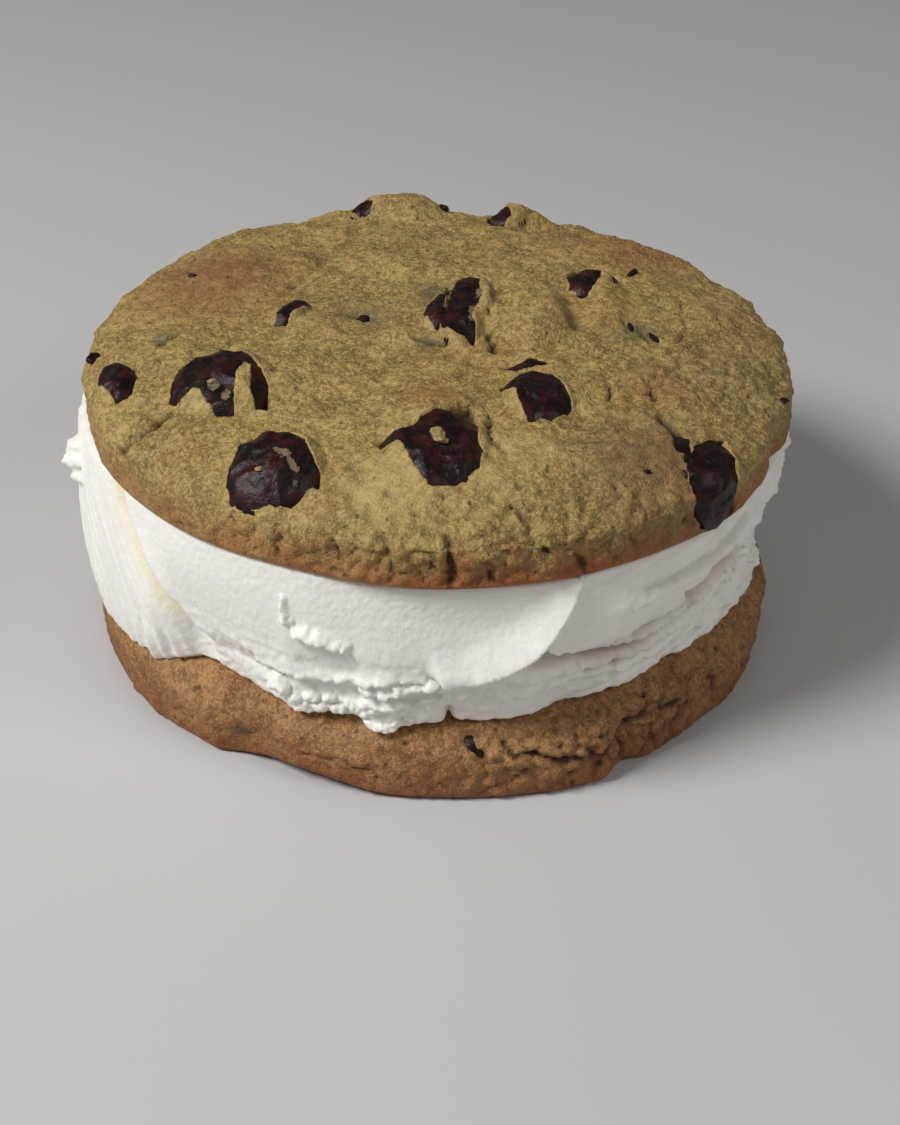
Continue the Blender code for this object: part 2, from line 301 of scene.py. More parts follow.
class Wire:
    """A shader socket that can stand in sums: each operator adds its Math node."""

    def __init__(self, tree, socket=None):
        self.tree = tree
        self.socket = socket

    def node(self, kind, settings=None, inputs=None, output=0):
        made = self.tree.nodes.new(kind)
        for name, value in (settings or {}).items():
            if name == "stops":
                for _ in value[2:]:
                    made.color_ramp.elements.new(0.5)
                for stop, (place, colour) in zip(made.color_ramp.elements, value):
                    stop.position = place
                    stop.color = (*colour, 1)
            else:
                setattr(made, name, value)
        for name, value in (inputs or {}).items():
            if isinstance(value, Wire):
                self.tree.links.new(value.socket, made.inputs[name])
            else:
                made.inputs[name].default_value = value
        return Wire(self.tree, made.outputs[output] if made.outputs else None)

    def maths(self, operation, *values, clamped=False):
        settings = {"operation": operation, "use_clamp": clamped}
        return self.node("ShaderNodeMath", settings, dict(enumerate(values)))

    def __add__(self, other):
        return self.maths("ADD", self, other)

    def __sub__(self, other):
        return self.maths("SUBTRACT", self, other)

    def __rsub__(self, other):
        return self.maths("SUBTRACT", other, self)

    def __mul__(self, other):
        return self.maths("MULTIPLY", self, other)

    __radd__ = __add__
    __rmul__ = __mul__

    def between(self, low, high):
        """0 below the first value, 1 above the second, and eased between them."""
        settings = {"interpolation_type": "SMOOTHSTEP"}
        inputs = {"Value": self, "From Min": low, "From Max": high}
        return self.node("ShaderNodeMapRange", settings, inputs)

    def mixed(self, share, first, second):
        """From the first colour to the second as the share goes from 0 to 1."""
        colours = [c if isinstance(c, Wire) else (*c, 1) for c in (first, second)]
        inputs = {0: share, 6: colours[0], 7: colours[1]}
        return self.node("ShaderNodeMix", {"data_type": "RGBA"}, inputs, output=2)

    def noise(self, place, size, detail=2.0, rough=0.5):
        """Random blotches about one size in millimetres across."""
        inputs = {"Vector": place, "Scale": 1 / (size * MM), "Detail": detail}
        return self.node("ShaderNodeTexNoise", {}, {**inputs, "Roughness": rough})

    def grit(self, place, size, output):
        """Random grains about one size in millimetres across: 0 how far from a middle, 1 which."""
        inputs = {"Vector": place, "Scale": 1 / (size * MM)}
        return self.node("ShaderNodeTexVoronoi", {}, inputs, output=output)

    def kept(self, name):
        """A number that the mesh keeps for each point."""
        return self.node("ShaderNodeAttribute", {"attribute_name": name}, output=2)


def new_finish(name):
    """A new material, its tree as a Wire, and Object coordinates in that tree."""
    material = bpy.data.materials.new(name)
    material.use_nodes = True
    material.node_tree.nodes.clear()
    wire = Wire(material.node_tree)
    return material, wire, wire.node("ShaderNodeTexCoord", output=3)


def close_finish(wire, sockets, height=None, bump_depth=0.1):
    """Ends a material in a Principled shader, with a bump of that many millimetres."""
    if height is not None:
        inputs = {"Strength": 1.0, "Distance": bump_depth * MM, "Height": height}
        sockets = {**sockets, "Normal": wire.node("ShaderNodeBump", {}, inputs)}
    shader = wire.node("ShaderNodeBsdfPrincipled", {}, sockets)
    wire.node("ShaderNodeOutputMaterial", {}, {"Surface": shader})


def baked_dough(name, pale, middle, olive, brown, crust, toast, sugar):
    """Baked dough: sandy, mottled from pale to olive brown, browner low down. Painted shade darkens its
    cracks, pits, low places and some broad patches, and painted light pales some patches.
    """
    material, wire, place = new_finish(name)
    blotch = wire.noise(place, 8, 3)
    patch = wire.noise(place, 2.8, 3, 0.6)
    speckle = wire.noise(place, 1.1, 3, 0.65)
    grains = wire.noise(place, 0.5, 2, 0.6)
    grit = wire.grit(place, 0.3, 0)
    grit_share = wire.grit(place, 0.3, 1)
    pits = 1 - wire.grit(place, 2.2, 0).between(0.06, 0.16)
    fine = wire.noise(place, 0.22, 2)
    colour = wire.mixed(blotch.between(0.36, 0.64), middle, pale)
    colour = wire.mixed(patch.between(0.5, 0.66) * 0.5, colour, olive)
    colour = wire.mixed((1 - patch).between(0.5, 0.66) * 0.6, colour, toast)
    colour = wire.mixed((1 - speckle).between(0.48, 0.64) * 0.65, colour, olive)
    colour = wire.mixed(speckle.between(0.54, 0.7) * 0.4, colour, sugar)
    colour = wire.mixed(grit_share.between(0.52, 0.8) * 0.5, colour, sugar)
    colour = wire.mixed((1 - grit_share).between(0.52, 0.8) * 0.42, colour, olive)
    # browner low down from baking; on the upper cookie also broad patches that are partly painted shade
    colour = wire.mixed(wire.kept("browned"), colour, crust)
    # painted shade: darker brown in cracks, pits, crumb seams, low places and torn edges, partly the
    # darker crumb of the cracks
    hollow = wire.kept("hollow") + (speckle - 0.5) * 0.6
    colour = wire.mixed(hollow.between(0.12, 0.9), colour, brown)
    # paler skin of dough, partly painted light in broad patches at the front of the upper cookie
    colour = wire.mixed(wire.kept("skin"), colour, sugar)
    # grey-green where chocolate shows through thin dough, and painted shade in broad patches on the upper
    # cookie
    colour = wire.mixed(wire.kept("bruise"), colour, (0.085, 0.082, 0.045))
    # painted shade: the pits are darkened toward brown
    colour = wire.mixed(pits * 0.45, colour, brown)
    height = speckle * 0.3 + patch * 0.25 + grains * 0.35 + fine * 0.15 - grit * 0.3
    height = height - pits * 0.5
    sockets = {
        "Base Color": colour,
        "Roughness": 0.40 + grit_share * 0.5,
        "Specular IOR Level": 0.35,
    }
    close_finish(wire, sockets, height, 0.28)
    return material


def dress(piece, material, *nodes, slot):
    """Gives a piece its finish and smooth shading, hides the solids it stands for, and hangs it under the
    root body.
    """
    piece.data.materials.clear()
    piece.data.materials.append(material)
    piece.data.polygons.foreach_set("use_smooth", [True] * len(piece.data.polygons))
    if nodes:
        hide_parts(*nodes)
    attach(piece, "root")


lower = turned_solid("baked_lower_cookie", dough_outline(LOWER_DOUGH))
skin(lower, 0.42)
centres = face_centres(lower)
flat_side = (centres[:, 2] < 0.05) & (np.hypot(centres[:, 0], centres[:, 1]) < 42)
edit_faces(lower, flat_side, bpy.ops.mesh.decimate, ratio=0.1)
centres = face_centres(lower)
covered = (centres[:, 2] > 9) & (np.hypot(centres[:, 0], centres[:, 1]) < 38)
edit_faces(lower, covered, bpy.ops.mesh.decimate, ratio=0.12)
points = pressed_to_dome(LOWER_DOUGH, read_points(lower))
write_points(lower, points)
outward = read_normals(lower)
angle = np.degrees(np.arctan2(points[:, 1], points[:, 0]))
shaped = shape_outline(LOWER_DOUGH, points)
side = ease((np.hypot(points[:, 0], points[:, 1]) - 40) / 3) * ease(points[:, 2] / 1.2)
cracked = 0.25 + 0.75 * bump(turn_between(angle, -55), 45)
crumb_middle, crumb_crack, crumb_share = crumbs(
    points + 0.7 * lumps(points, 2.2, 7)[:, None], 3.2, 21
)
LOWER_CRACKS = [
    ([on_rim(LOWER_DOUGH, *p) for p in line], width, depth)
    for line, width, depth in (
        (((-84.6, 8.3), (-83.4, 7.2), (-82.3, 6.1)), 0.9, 0.7),
        (((-79.1, 7.9), (-77.6, 6.3), (-74.5, 6.4), (-70.6, 4.8), (-68.1, 4.6)), 0.8, 1.0),
        (((-68.1, 4.6), (-63.9, 4.1), (-61.2, 5.1), (-58.3, 6.4)), 0.7, 0.9),
        (((-58.3, 6.4), (-53, 6.8), (-47.8, 6.1)), 0.7, 0.7),
        (((-70.3, 9.1), (-70.8, 7)), 0.5, 0.7),
        (((-63, 8.9), (-63.8, 6.6)), 0.5, 0.6),
        (((-74.8, 8.1), (-75.2, 6.6)), 0.5, 0.6),
        (((-68.6, 2.9), (-68.9, 1.6), (-68.2, 0.4)), 0.6, 0.8),
        (((-78.1, 2.1), (-76.1, 3.6)), 0.5, 0.6),
        (((-60.4, 4.5), (-59.2, 3.3), (-58.8, 1.9)), 0.7, 1.0),
        (((-54, 5.1), (-53.6, 3.2)), 0.6, 0.8),
        (((-47.5, 5.4), (-48, 3.3)), 0.6, 0.7),
        (((-40, 7), (-38, 5.2), (-39, 3.4)), 0.6, 0.7),
        (((-28, 3.6), (-27, 2.4)), 0.9, 1.0),
        (((-110, 3.4), (-104, 4.1), (-99, 3.6)), 0.4, 0.4),
    )
]
split = crack_depth(points, LOWER_CRACKS)
relief = 0.36 * lumps(points, 8, 1) + 0.30 * lumps(points, 3, 2)
relief += 0.22 * lumps(points, 1.6, 3) + 0.10 * lumps(points, 0.9, 4)
grain_middle, _, _ = crumbs(points + 0.3 * lumps(points, 0.9, 9)[:, None], 1.15, 25)
pore_middle, _, pore_share = crumbs(points, 1.8, 26)
pores = ease(1 - pore_middle / (0.3 + 0.5 * pore_share)) * (pore_share > 0.6)
relief += (0.16 + 0.1 * cracked) * (0.6 - grain_middle) - 0.4 * pores
crumbled = (0.12 + 0.88 * cracked) * bump(crumb_crack, 0.75)
relief -= 0.5 * crumbled
relief += 0.3 * cracked * (crumb_share - 0.5) + 0.16 * cracked * lumps(points, 1.5, 12)
valley = ease(-relief / 1.1)
relief -= split
shaped = shaped + outward * (relief * side)[:, None]
lift_share = ease((np.hypot(points[:, 0], points[:, 1]) - 37) / 6)
shaped[:, 2] += lift_share * 1.6 * bump(turn_between(angle, -110), 15) * (
    1 - ease(points[:, 2] / 7)
)
shaped[:, 2] = np.maximum(shaped[:, 2], 0)
write_points(lower, shaped)
# painted shade in cracks, crumb seams, pores and low places, partly the darker crumb inside the cracks
hollow = split * 0.9 + (0.4 * crumbled + 0.5 * pores + 0.3 * valley) * side
keep_values(lower, "hollow", np.clip(hollow, 0, 1))
keep_values(lower, "browned", np.clip(0.75 - points[:, 2] / 9 + 0.25 * lumps(points, 5, 5), 0, 1))
keep_values(lower, "skin", np.zeros(len(points)))
keep_values(lower, "bruise", 0.8 * bump(turn_between(angle, -121), 2) * bump(points[:, 2] - 4, 1.4))
lower_dough = baked_dough(
    "lower_dough",
    pale=(0.41, 0.208, 0.078),
    middle=(0.27, 0.116, 0.037),
    olive=(0.155, 0.068, 0.019),
    brown=(0.060, 0.020, 0.007),
    crust=(0.22, 0.070, 0.020),
    toast=(0.28, 0.130, 0.042),
    sugar=(0.46, 0.290, 0.130),
)
dress(lower, lower_dough, "lower_cookie", slot="lower_dough")

# Ice cream: a thick slab of vanilla pressed between the cookies until it bulged, and scraped
# round its side with a spatula. A sheet of points is wrapped round, closed under each cookie,
# and the strokes of the spatula are worked into it as ridges with one steep side.
ANGLES = 1050
ROWS = 86
CREAM_TOP = 30.15
DEGREE = 0.768  # millimetres round the side for one degree

# (angle, radius, height) of the lip that squeezed out over the lower cookie
LIP = (
    (-188, 45.2, 6.6), (-170, 45.4, 6.0), (-151, 45.0, 6.5), (-145, 44.7, 7.2),
    (-141.5, 44.4, 7.6), (-138.8, 44.4, 7.4), (-136.7, 43.6, 8.2), (-134.5, 42.9, 8.9),
    (-132.5, 41.6, 9.6), (-129, 41.2, 9.7), (-122.7, 41.5, 9.5), (-118.9, 41.9, 9.3),
    (-114.2, 42.4, 9.1), (-112, 43.1, 8.7), (-108.8, 42.6, 9.0), (-105.8, 42.2, 9.2),
    (-102.2, 42.1, 9.3), (-99.7, 43.1, 8.7), (-96.1, 43.2, 8.6), (-94, 42.8, 8.9),
    (-90, 42.3, 9.2), (-86.3, 41.8, 9.4), (-79.6, 42.2, 9.2), (-74.3, 42.0, 9.3),
    (-68.4, 41.1, 9.7), (-57.4, 41.1, 9.6), (-46, 40.6, 9.8), (-40, 40.9, 9.7),
    (-30, 41.4, 9.5), (-18.5, 42.0, 9.3), (-8, 41.3, 9.6), (8, 41.6, 9.4),
    (22, 41.1, 9.6), (38, 41.9, 9.3), (55, 41.3, 9.5), (74, 42.2, 9.1),
    (92, 41.5, 9.5), (112, 42.3, 9.0), (130, 42.0, 9.2), (146, 43.4, 8.4), (160, 44.4, 7.4),
)
# (angle, radius) just under the upper cookie
SHOULDER = (
    (-188, 45.2), (-172, 45.6), (-160, 45.2), (-146, 44.2), (-130, 44.3), (-100, 44.1),
    (-75, 43.9), (-50, 43.9), (-28, 43.9), (-10, 44.4), (20, 44.2), (60, 43.6),
    (100, 44.0), (140, 44.3), (160, 44.9),
)
# the line of the lit wave thrown up at the front, from its tail at the lower left
WAVE = (
    (-88.6, 17.7), (-84.4, 18.3), (-80.3, 19.6), (-76.3, 21.9), (-73.8, 24.0), (-71.6, 26.4),
    (-69.8, 28.6), (-69.0, 30.4),
)
# (line of angle and height, outward height or depth below 0, width above the line, width
# below it, sag)
STROKES = (
    # the flatter face to the right of the wave, which ends in a step
    (((-73.5, 21.3), (-69.8, 20.6), (-66.2, 19.8), (-63.6, 19.4)), 1.5, 14.0, 0.45, 0.4),
    # ledges dragged away to the right
    (((-80, 17.0), (-75, 16.2), (-70.5, 16.1), (-66.4, 16.1), (-63.2, 16.5), (-58.7, 16.9),
      (-54, 17.7), (-47, 19.3), (-42, 20.4)), 0.9, 1.9, 0.45, 0.2),
    (((-62.3, 20.7), (-59.3, 20.8), (-56, 21.0), (-50, 22.0)), 1.3, 2.2, 0.4, 0.3),
    (((-60, 24.0), (-50, 24.8), (-40, 26.0), (-31, 27.6)), 0.8, 3.2, 0.6, 0.1),
    (((-59.3, 20.1), (-54.1, 20.9), (-47.2, 21.4), (-40.5, 22.4), (-31.4, 23.2)), -1.3, 1.5, 1.0, 0.0),
    (((-70, 18.5), (-64.2, 17.5), (-57, 17.8), (-49, 18.8), (-42, 19.4), (-34, 20.8)),
     -1.1, 1.3, 0.9, 0.0),
    (((-66, 15.2), (-58, 15.4), (-48, 16.2), (-38, 17.0)), -0.8, 1.1, 0.8, 0.0),
    (((-58, 25.6), (-46, 26.4), (-34, 27.8)), -0.5, 1.6, 0.8, 0.0),
    (((-62.8, 18.3), (-57.9, 19.2), (-53.4, 19.8), (-46.7, 20.5), (-38.7, 21.7), (-31, 22.3)),
     1.3, 1.9, 0.4, 0.3),
    (((-67.0, 16.5), (-60.0, 16.7), (-52.4, 17.3), (-45.1, 17.7), (-38.4, 18.3), (-32, 19.2)),
     1.1, 1.6, 0.4, 0.3),
    (((-60, 13.6), (-52, 14.4), (-44, 15.4), (-38, 15.9)), 0.8, 1.4, 0.4, 0.2),
    (((-36, 24.6), (-28, 25.0), (-20, 26.4), (-10, 27.0), (4, 26.2)), 1.0, 2.6, 0.4, 0.3),
    (((-30, 20.6), (-20, 22.0), (-8, 22.6), (8, 22.0)), 0.8, 2.0, 0.45, 0.2),
    (((-30, 15.0), (-18, 16.4), (-4, 16.8), (12, 16.0)), 0.8, 1.8, 0.45, 0.2),
    # strokes round the back, which lean as they go
    (((18, 24.6), (34, 25.4), (52, 25.0), (66, 26.2)), 0.8, 2.4, 0.45, 0.2),
    (((26, 18.4), (42, 19.8), (60, 19.4), (80, 21.0), (96, 20.4)), 0.9, 2.4, 0.45, 0.2),
    (((60, 14.2), (78, 15.0), (96, 14.4), (118, 15.6)), 0.8, 2.0, 0.45, 0.2),
    (((88, 25.8), (104, 24.8), (122, 25.6), (140, 24.4)), 0.8, 2.4, 0.45, 0.2),
    (((112, 20.0), (128, 19.0), (144, 20.2)), 0.7, 2.0, 0.45, 0.2),
    (((-40, 14.0), (-34, 15.4), (-30, 18.2), (-28.5, 19.6)), 0.9, 1.2, 1.6, 0.0),
    # layers dragged along the front
    (((-118, 15.4), (-110, 15.5), (-104, 16.1), (-98, 16.9), (-91, 17.3)), 0.7, 1.4, 0.35, 0.25),
    (((-101, 15.0), (-97, 15.1), (-93.5, 15.8), (-89, 16.6)), 1.0, 1.0, 0.35, 0.25),
    (((-102, 12.9), (-97, 12.9), (-92, 13.8), (-88.5, 14.5)), 0.6, 1.0, 0.35, 0.2),
    (((-86.5, 14.0), (-83, 14.6), (-79, 14.2)), 0.6, 1.0, 0.4, 0.1),
    (((-77, 13.6), (-72.3, 14.6), (-69.2, 13.9)), 0.5, 1.2, 0.4, 0.1),
    # torn flakes that hang under the front's smooth top
    (((-112.2, 26.4), (-112, 24.8), (-111.5, 23.2)), 0.35, 1.0, 0.5, 0.0),
    (((-110.6, 22.2), (-107.5, 21.8), (-105, 21.3), (-102.8, 20.9)), 0.7, 1.8, 0.35, 0.4),
)
# (angle, height, half width, half height, outward half size) of lumps torn loose and stuck on
TORN = (
    # the bead at the lip's left end
    (-114.3, 12.9, 1.75, 1.6, 1.5),
    # flakes
    (-112.0, 26.0, 0.35, 0.6, 0.4), (-112.1, 25.0, 0.45, 0.7, 0.45), (-111.8, 24.1, 0.5, 0.6, 0.5),
    (-111.6, 23.3, 0.8, 0.55, 0.6), (-110.9, 23.5, 0.5, 0.4, 0.5), (-109.6, 22.1, 1.0, 0.6, 0.7),
    (-108.6, 22.6, 0.8, 0.5, 0.6), (-107.9, 21.9, 1.0, 0.7, 0.8), (-106.9, 22.3, 0.7, 0.5, 0.6),
    (-106.2, 21.8, 0.9, 0.6, 0.7), (-107.9, 21.3, 0.6, 0.4, 0.6), (-105.5, 21.5, 0.6, 0.4, 0.6),
    (-104.6, 21.2, 0.6, 0.4, 0.6), (-103.8, 21.4, 0.5, 0.35, 0.5), (-103.1, 20.9, 0.55, 0.45, 0.6),
    (-103.1, 20.2, 0.3, 0.55, 0.4), (-102.2, 21.4, 0.35, 0.3, 0.4),
    # the torn lip
    (-111.4, 11.3, 1.0, 0.8, 0.8), (-110.2, 10.4, 1.1, 0.8, 0.8), (-108.8, 12.1, 1.2, 0.8, 0.8),
    (-107.6, 10.7, 1.2, 0.9, 0.9), (-106.0, 12.2, 1.0, 0.7, 0.7), (-104.8, 10.8, 1.2, 0.8, 0.8),
    (-103.3, 12.2, 1.1, 0.7, 0.7), (-101.8, 11.5, 1.0, 0.8, 0.7), (-100.9, 11.0, 0.9, 0.6, 0.6),
    (-99.4, 12.3, 0.9, 0.6, 0.6), (-111.0, 9.8, 0.8, 0.5, 0.6), (-109.4, 9.9, 0.9, 0.6, 0.6),
    (-99.5, 9.9, 0.9, 0.6, 0.7), (-98.0, 9.8, 1.1, 0.7, 0.8), (-96.6, 9.7, 1.1, 0.7, 0.8),
    (-95.1, 10.2, 0.9, 0.6, 0.7), (-93.7, 10.6, 0.8, 0.5, 0.6),
    # bits on the edges of its layers
    (-110.1, 15.4, 0.9, 0.35, 0.5), (-106.1, 15.6, 0.9, 0.3, 0.5), (-103.6, 16.2, 0.8, 0.3, 0.5),
    (-100.3, 16.5, 0.9, 0.35, 0.5), (-97.5, 17.0, 0.9, 0.3, 0.5), (-95.1, 16.3, 0.7, 0.4, 0.5),
    (-92.3, 16.5, 0.6, 0.35, 0.5), (-90.2, 16.6, 1.0, 0.65, 0.8), (-88.8, 16.4, 0.5, 0.4, 0.5),
    (-99.3, 14.9, 0.8, 0.3, 0.5), (-97.0, 15.0, 0.8, 0.3, 0.5), (-94.7, 15.5, 0.7, 0.3, 0.5),
    (-100.4, 12.9, 0.7, 0.35, 0.5), (-97.0, 12.8, 0.8, 0.4, 0.5), (-95.1, 13.6, 0.7, 0.35, 0.5),
    (-92.3, 13.6, 0.7, 0.3, 0.5), (-89.5, 14.4, 0.6, 0.3, 0.4), (-72.3, 14.7, 0.7, 0.35, 0.4),
    (-69.7, 14.0, 0.6, 0.35, 0.4), (-45.3, 19.6, 0.7, 0.6, 0.7),
    # the knob pushed out at the left, under the upper cookie
    (-167, 27.0, 1.6, 1.1, 1.4), (-166, 25.4, 1.9, 1.4, 1.9), (-164.5, 23.6, 1.5, 1.0, 1.2),
    (-169, 25.0, 1.5, 1.2, 1.4),
    # lumps along the right side
    (-33, 17.2, 2.6, 2.4, 1.3), (-30, 20.0, 2.2, 1.8, 1.2), (-31, 14.4, 1.8, 1.3, 0.9),
    (-24, 20.8, 1.8, 1.2, 0.9), (-20, 15.4, 2.0, 1.3, 0.9), (-16, 24.6, 2.4, 1.5, 1.0),
    (-9, 19.6, 2.2, 1.6, 1.0), (-3, 15.8, 2.0, 1.4, 0.9), (-6, 27.2, 2.4, 1.3, 0.8),
)
CREASE = ((-146.2, 29.6), (-144.6, 27), (-142, 25), (-139.6, 23), (-137, 21), (-134.6, 19),
          (-132.4, 17), (-130.4, 15), (-129, 13.4), (-128.5, 11))


def round_curve(angles, marks):
    """Values at all angles, eased through marks of an angle and one value."""
    places, values = np.array(marks, float).T
    places = np.concatenate([places - 360, places, places + 360])
    values = np.tile(values, 3)
    fine = np.linspace(-540, 540, 4321)
    line = np.interp(fine, places, values)
    soft = np.convolve(line, np.hanning(9) / np.hanning(9).sum(), "same")
    return np.interp(angles, fine, soft)


def stroke_height(across, up, line, above, below):
    """1 on a stroke's line, falling to 0 over one width above it and another below it."""
    spots = np.stack([across, up], axis=1)
    best = np.full(len(spots), 99.0)
    side_of = np.zeros(len(spots))
    scaled = np.array([(a * DEGREE, z) for a, z in line])
    for number, (start, end) in enumerate(itertools.pairwise(scaled)):
        along = end - start
        share = (spots - start) @ along / (along @ along)
        past = np.where(number == 0, np.maximum(-share, 0), 0)
        past = past + np.where(number == len(line) - 2, np.maximum(share - 1, 0), 0)
        share = np.clip(share, 0, 1)
        gap = spots - start - share[:, None] * along
        away = np.hypot(np.linalg.norm(gap, axis=1), 2.5 * past * np.linalg.norm(along))
        closer = away < best
        best = np.where(closer, away, best)
        left = along[0] * gap[:, 1] - along[1] * gap[:, 0]
        side_of = np.where(closer, left, side_of)
    scooped = np.clip(1 - best / above, 0, 1) ** 1.9
    return np.where(side_of > 0, scooped, ease(1 - best / below))


bpy.ops.object.select_all(action="DESELECT")
bpy.ops.mesh.primitive_grid_add(x_subdivisions=ANGLES, y_subdivisions=ROWS, size=2)
cream = bpy.context.object
cream.name = "vanilla_ice_cream"
cream.data.name = "vanilla_ice_cream"
sheet = read_points(cream) * MM
# the columns stand closer at the front, and the rows closer at the lip and at the top
angle = (sheet[:, 0] + 1) * 180
angle = angle - 188 - 20 * (np.sin(np.radians(angle - 98)) + np.sin(np.radians(98)))
share = (sheet[:, 1] + 1) / 2
share = share - 0.3 * np.sin(2 * np.pi * share) / (2 * np.pi)
lip_radius = round_curve(angle, [(a, r) for a, r, _ in LIP])
lip_height = round_curve(angle, [(a, z) for a, _, z in LIP])
shoulder_radius = round_curve(angle, SHOULDER)
height = lip_height + (CREAM_TOP - lip_height) * share
across = angle * DEGREE
flat = np.stack([np.cos(np.radians(angle)) * 44, np.sin(np.radians(angle)) * 44, height], axis=1)

lobe_edge = np.interp(height, *zip(*[(z, a) for a, z in reversed(CREASE)]))
from_crease = turn_between(angle, lobe_edge)
lobe = ease(-from_crease / 7) * ease((angle + 200) / 8) * 1.0
lobe = np.where(angle < -120, ease(-from_crease / 7), 0)
back_lobe = ease((angle - 140) / 25)
lobe = np.maximum(lobe, back_lobe)

curve = share**0.55
radius = lip_radius + (shoulder_radius - lip_radius) * ease(share * 1.15)
radius += 0.9 * np.sin(np.pi * share**0.8)
radius += 0.3 * lobe * np.sin(np.pi * np.clip(share, 0, 1) ** 0.9)
drawn = np.interp(height, (10, 14, 17, 19.5, 21.5, 24, 27, 30), (0, 0.5, 2.5, 4.3, 3.6, 1.8, 1.0, 1.0))
radius -= drawn * bump(turn_between(angle, -10), 44)

# the hollow crease where the front smear laps over the left lobe
crease_dip = np.where(from_crease < 0, bump(from_crease, 6), ease(1 - from_crease / 0.9))
crease_dip = crease_dip * ease((height - 9) / 6) * (angle < -120)
radius -= 1.5 * crease_dip
radius += 0.5 * ease(1 - np.abs(from_crease - 2.5) / 3) * (angle < -120) * ease((height - 12) / 4)

# scrape marks: down the left lobe beside the crease, and round the rest
fluting = lumps(np.stack([from_crease * DEGREE / 1.0, height / 14, angle * 0], axis=1), 1.6, 31)
fluting += 0.6 * lumps(np.stack([from_crease * DEGREE, height / 9, angle * 0], axis=1), 0.8, 32)
near_foot = bump(turn_between(angle, -139), 9) * ease((17 - height) / 7)
radius += lobe * (0.26 + 0.5 * near_foot) * fluting
drag_up = height - 0.14 * (angle + 88) * ease((angle + 92) / 12)
dragged = np.stack([across / 12, drag_up, angle * 0], axis=1)
drags = 0.5 * lumps(dragged, 1.7, 33) + 0.35 * lumps(dragged, 0.8, 34)
rough_band = ease((20.5 - height) / 3) * (1 - lobe)
right_side = ease((angle + 80) / 25) * (1 - lobe)
drag_share = 0.08 + 0.5 * rough_band + 0.9 * right_side
radius += (1 - lobe) * drag_share * drags * 0.55

# the strokes, with their edges hanging a little
sag = np.zeros(len(sheet))
raised = np.zeros(len(sheet))
carved = np.zeros(len(sheet))
for line, tall, above, below, droop in STROKES:
    near = (angle > min(line)[0] - 9) & (angle < max(line)[0] + 9)
    warp = 0.30 * lumps(flat[near], 1.4, 35) + 0.15 * lumps(flat[near], 0.7, 43)
    shape = stroke_height(across[near] + warp, height[near] + warp, line, above, below)
    raised[near] = np.maximum(raised[near], tall * shape)
    carved[near] = np.maximum(carved[near], -tall * shape)
    sag[near] = np.maximum(sag[near], droop * shape**2)
near = (angle > -102) & (angle < -60)
warp = 0.14 * lumps(flat[near], 1.8, 35)
spots = across[near] + warp, height[near] + warp
crest = 0.75 * stroke_height(*spots, WAVE, 4.6, 0.7) ** 1.15
crest += 0.25 * stroke_height(*spots, WAVE, 10.0, 0.7)
crest_tall = np.interp(height[near], (17.4, 19, 23, 27, 30), (1.8, 2.9, 3.0, 2.0, 1.0))
raised[near] = np.maximum(raised[near], crest_tall * crest)
sag[near] = np.maximum(sag[near], 0.7 * crest**2)
radius += raised - carved

knobs = np.zeros(len(sheet))
knob_warp = 0.4 * lumps(flat, 1.1, 44) + 0.25 * lumps(flat, 0.55, 45)
for middle, tall, wide, high, out in TORN:
    near = np.abs(turn_between(angle, middle)) < 6
    right = turn_between(angle[near], middle) * DEGREE
    spread = (right / wide) ** 2 + ((height[near] - tall) / high) ** 2
    rounded = np.sqrt(np.clip(1 - spread + knob_warp[near], 0, 1.3))
    knobs[near] = np.maximum(knobs[near], out * rounded)
radius += knobs * (1 + 0.35 * lumps(flat, 0.9, 46)) + 0.12 * ease(knobs * 3) * lumps(flat, 0.6, 47)

# hollows under the wave and over the torn lip, a split in the lip, and the bulge at the left
hollow_under_wave = np.exp(-(((angle + 69.5) * DEGREE / 7.5) ** 2) - ((height - 18.6) / 1.5) ** 2)
radius -= 2.2 * hollow_under_wave
scoop = np.exp(-(((angle + 84) * DEGREE / 9.0) ** 2) - ((height - 25.5) / 3.6) ** 2)
radius -= 0.7 * scoop
radius -= 0.7 * np.exp(-(((angle + 113) * DEGREE / 14) ** 2) - ((height - 14.2) / 1.3) ** 2)
radius -= 1.6 * np.exp(-(((angle + 87.4) * DEGREE / 0.42) ** 2)) * ease((13.0 - height) / 1.2)

lumpy_lip = bump(turn_between(angle, -94), 24) * ease((15.2 - height) / 2.5)
lumpy_lip = np.maximum(lumpy_lip, 0.6 * right_side * ease((15 - height) / 5))
radius += lumpy_lip * (0.5 * lumps(flat, 2.6, 36) + 0.42 * lumps(flat, 1.3, 37))
radius += 0.45 * right_side * lumps(flat, 4.2, 38)
radius += 0.16 * lumps(flat, 1.0, 39) * (0.25 + 0.75 * rough_band)
radius += 0.06 * lumps(flat, 0.55, 41)

# the lip rounds under on to the lower cookie, and the top tucks under the upper one
under = ease(1 - share / 0.05)
radius -= 0.9 * under**2
tuck = ease((share - 0.965) / 0.035)
radius -= 0.5 * tuck
height = height - sag
height += 0.25 * lumps(flat, 2.4, 42) * ease((0.12 - share) / 0.12) * lumpy_lip

ring = np.radians(angle)
shaped = np.stack([radius * np.cos(ring), radius * np.sin(ring), height], axis=1)
write_points(cream, shaped)
# painted shade: how far each point lies in a groove or in the hollow under the wave, to be painted darker
keep_values(cream, "hollow", np.clip(carved + 0.9 * hollow_under_wave, 0, 1))

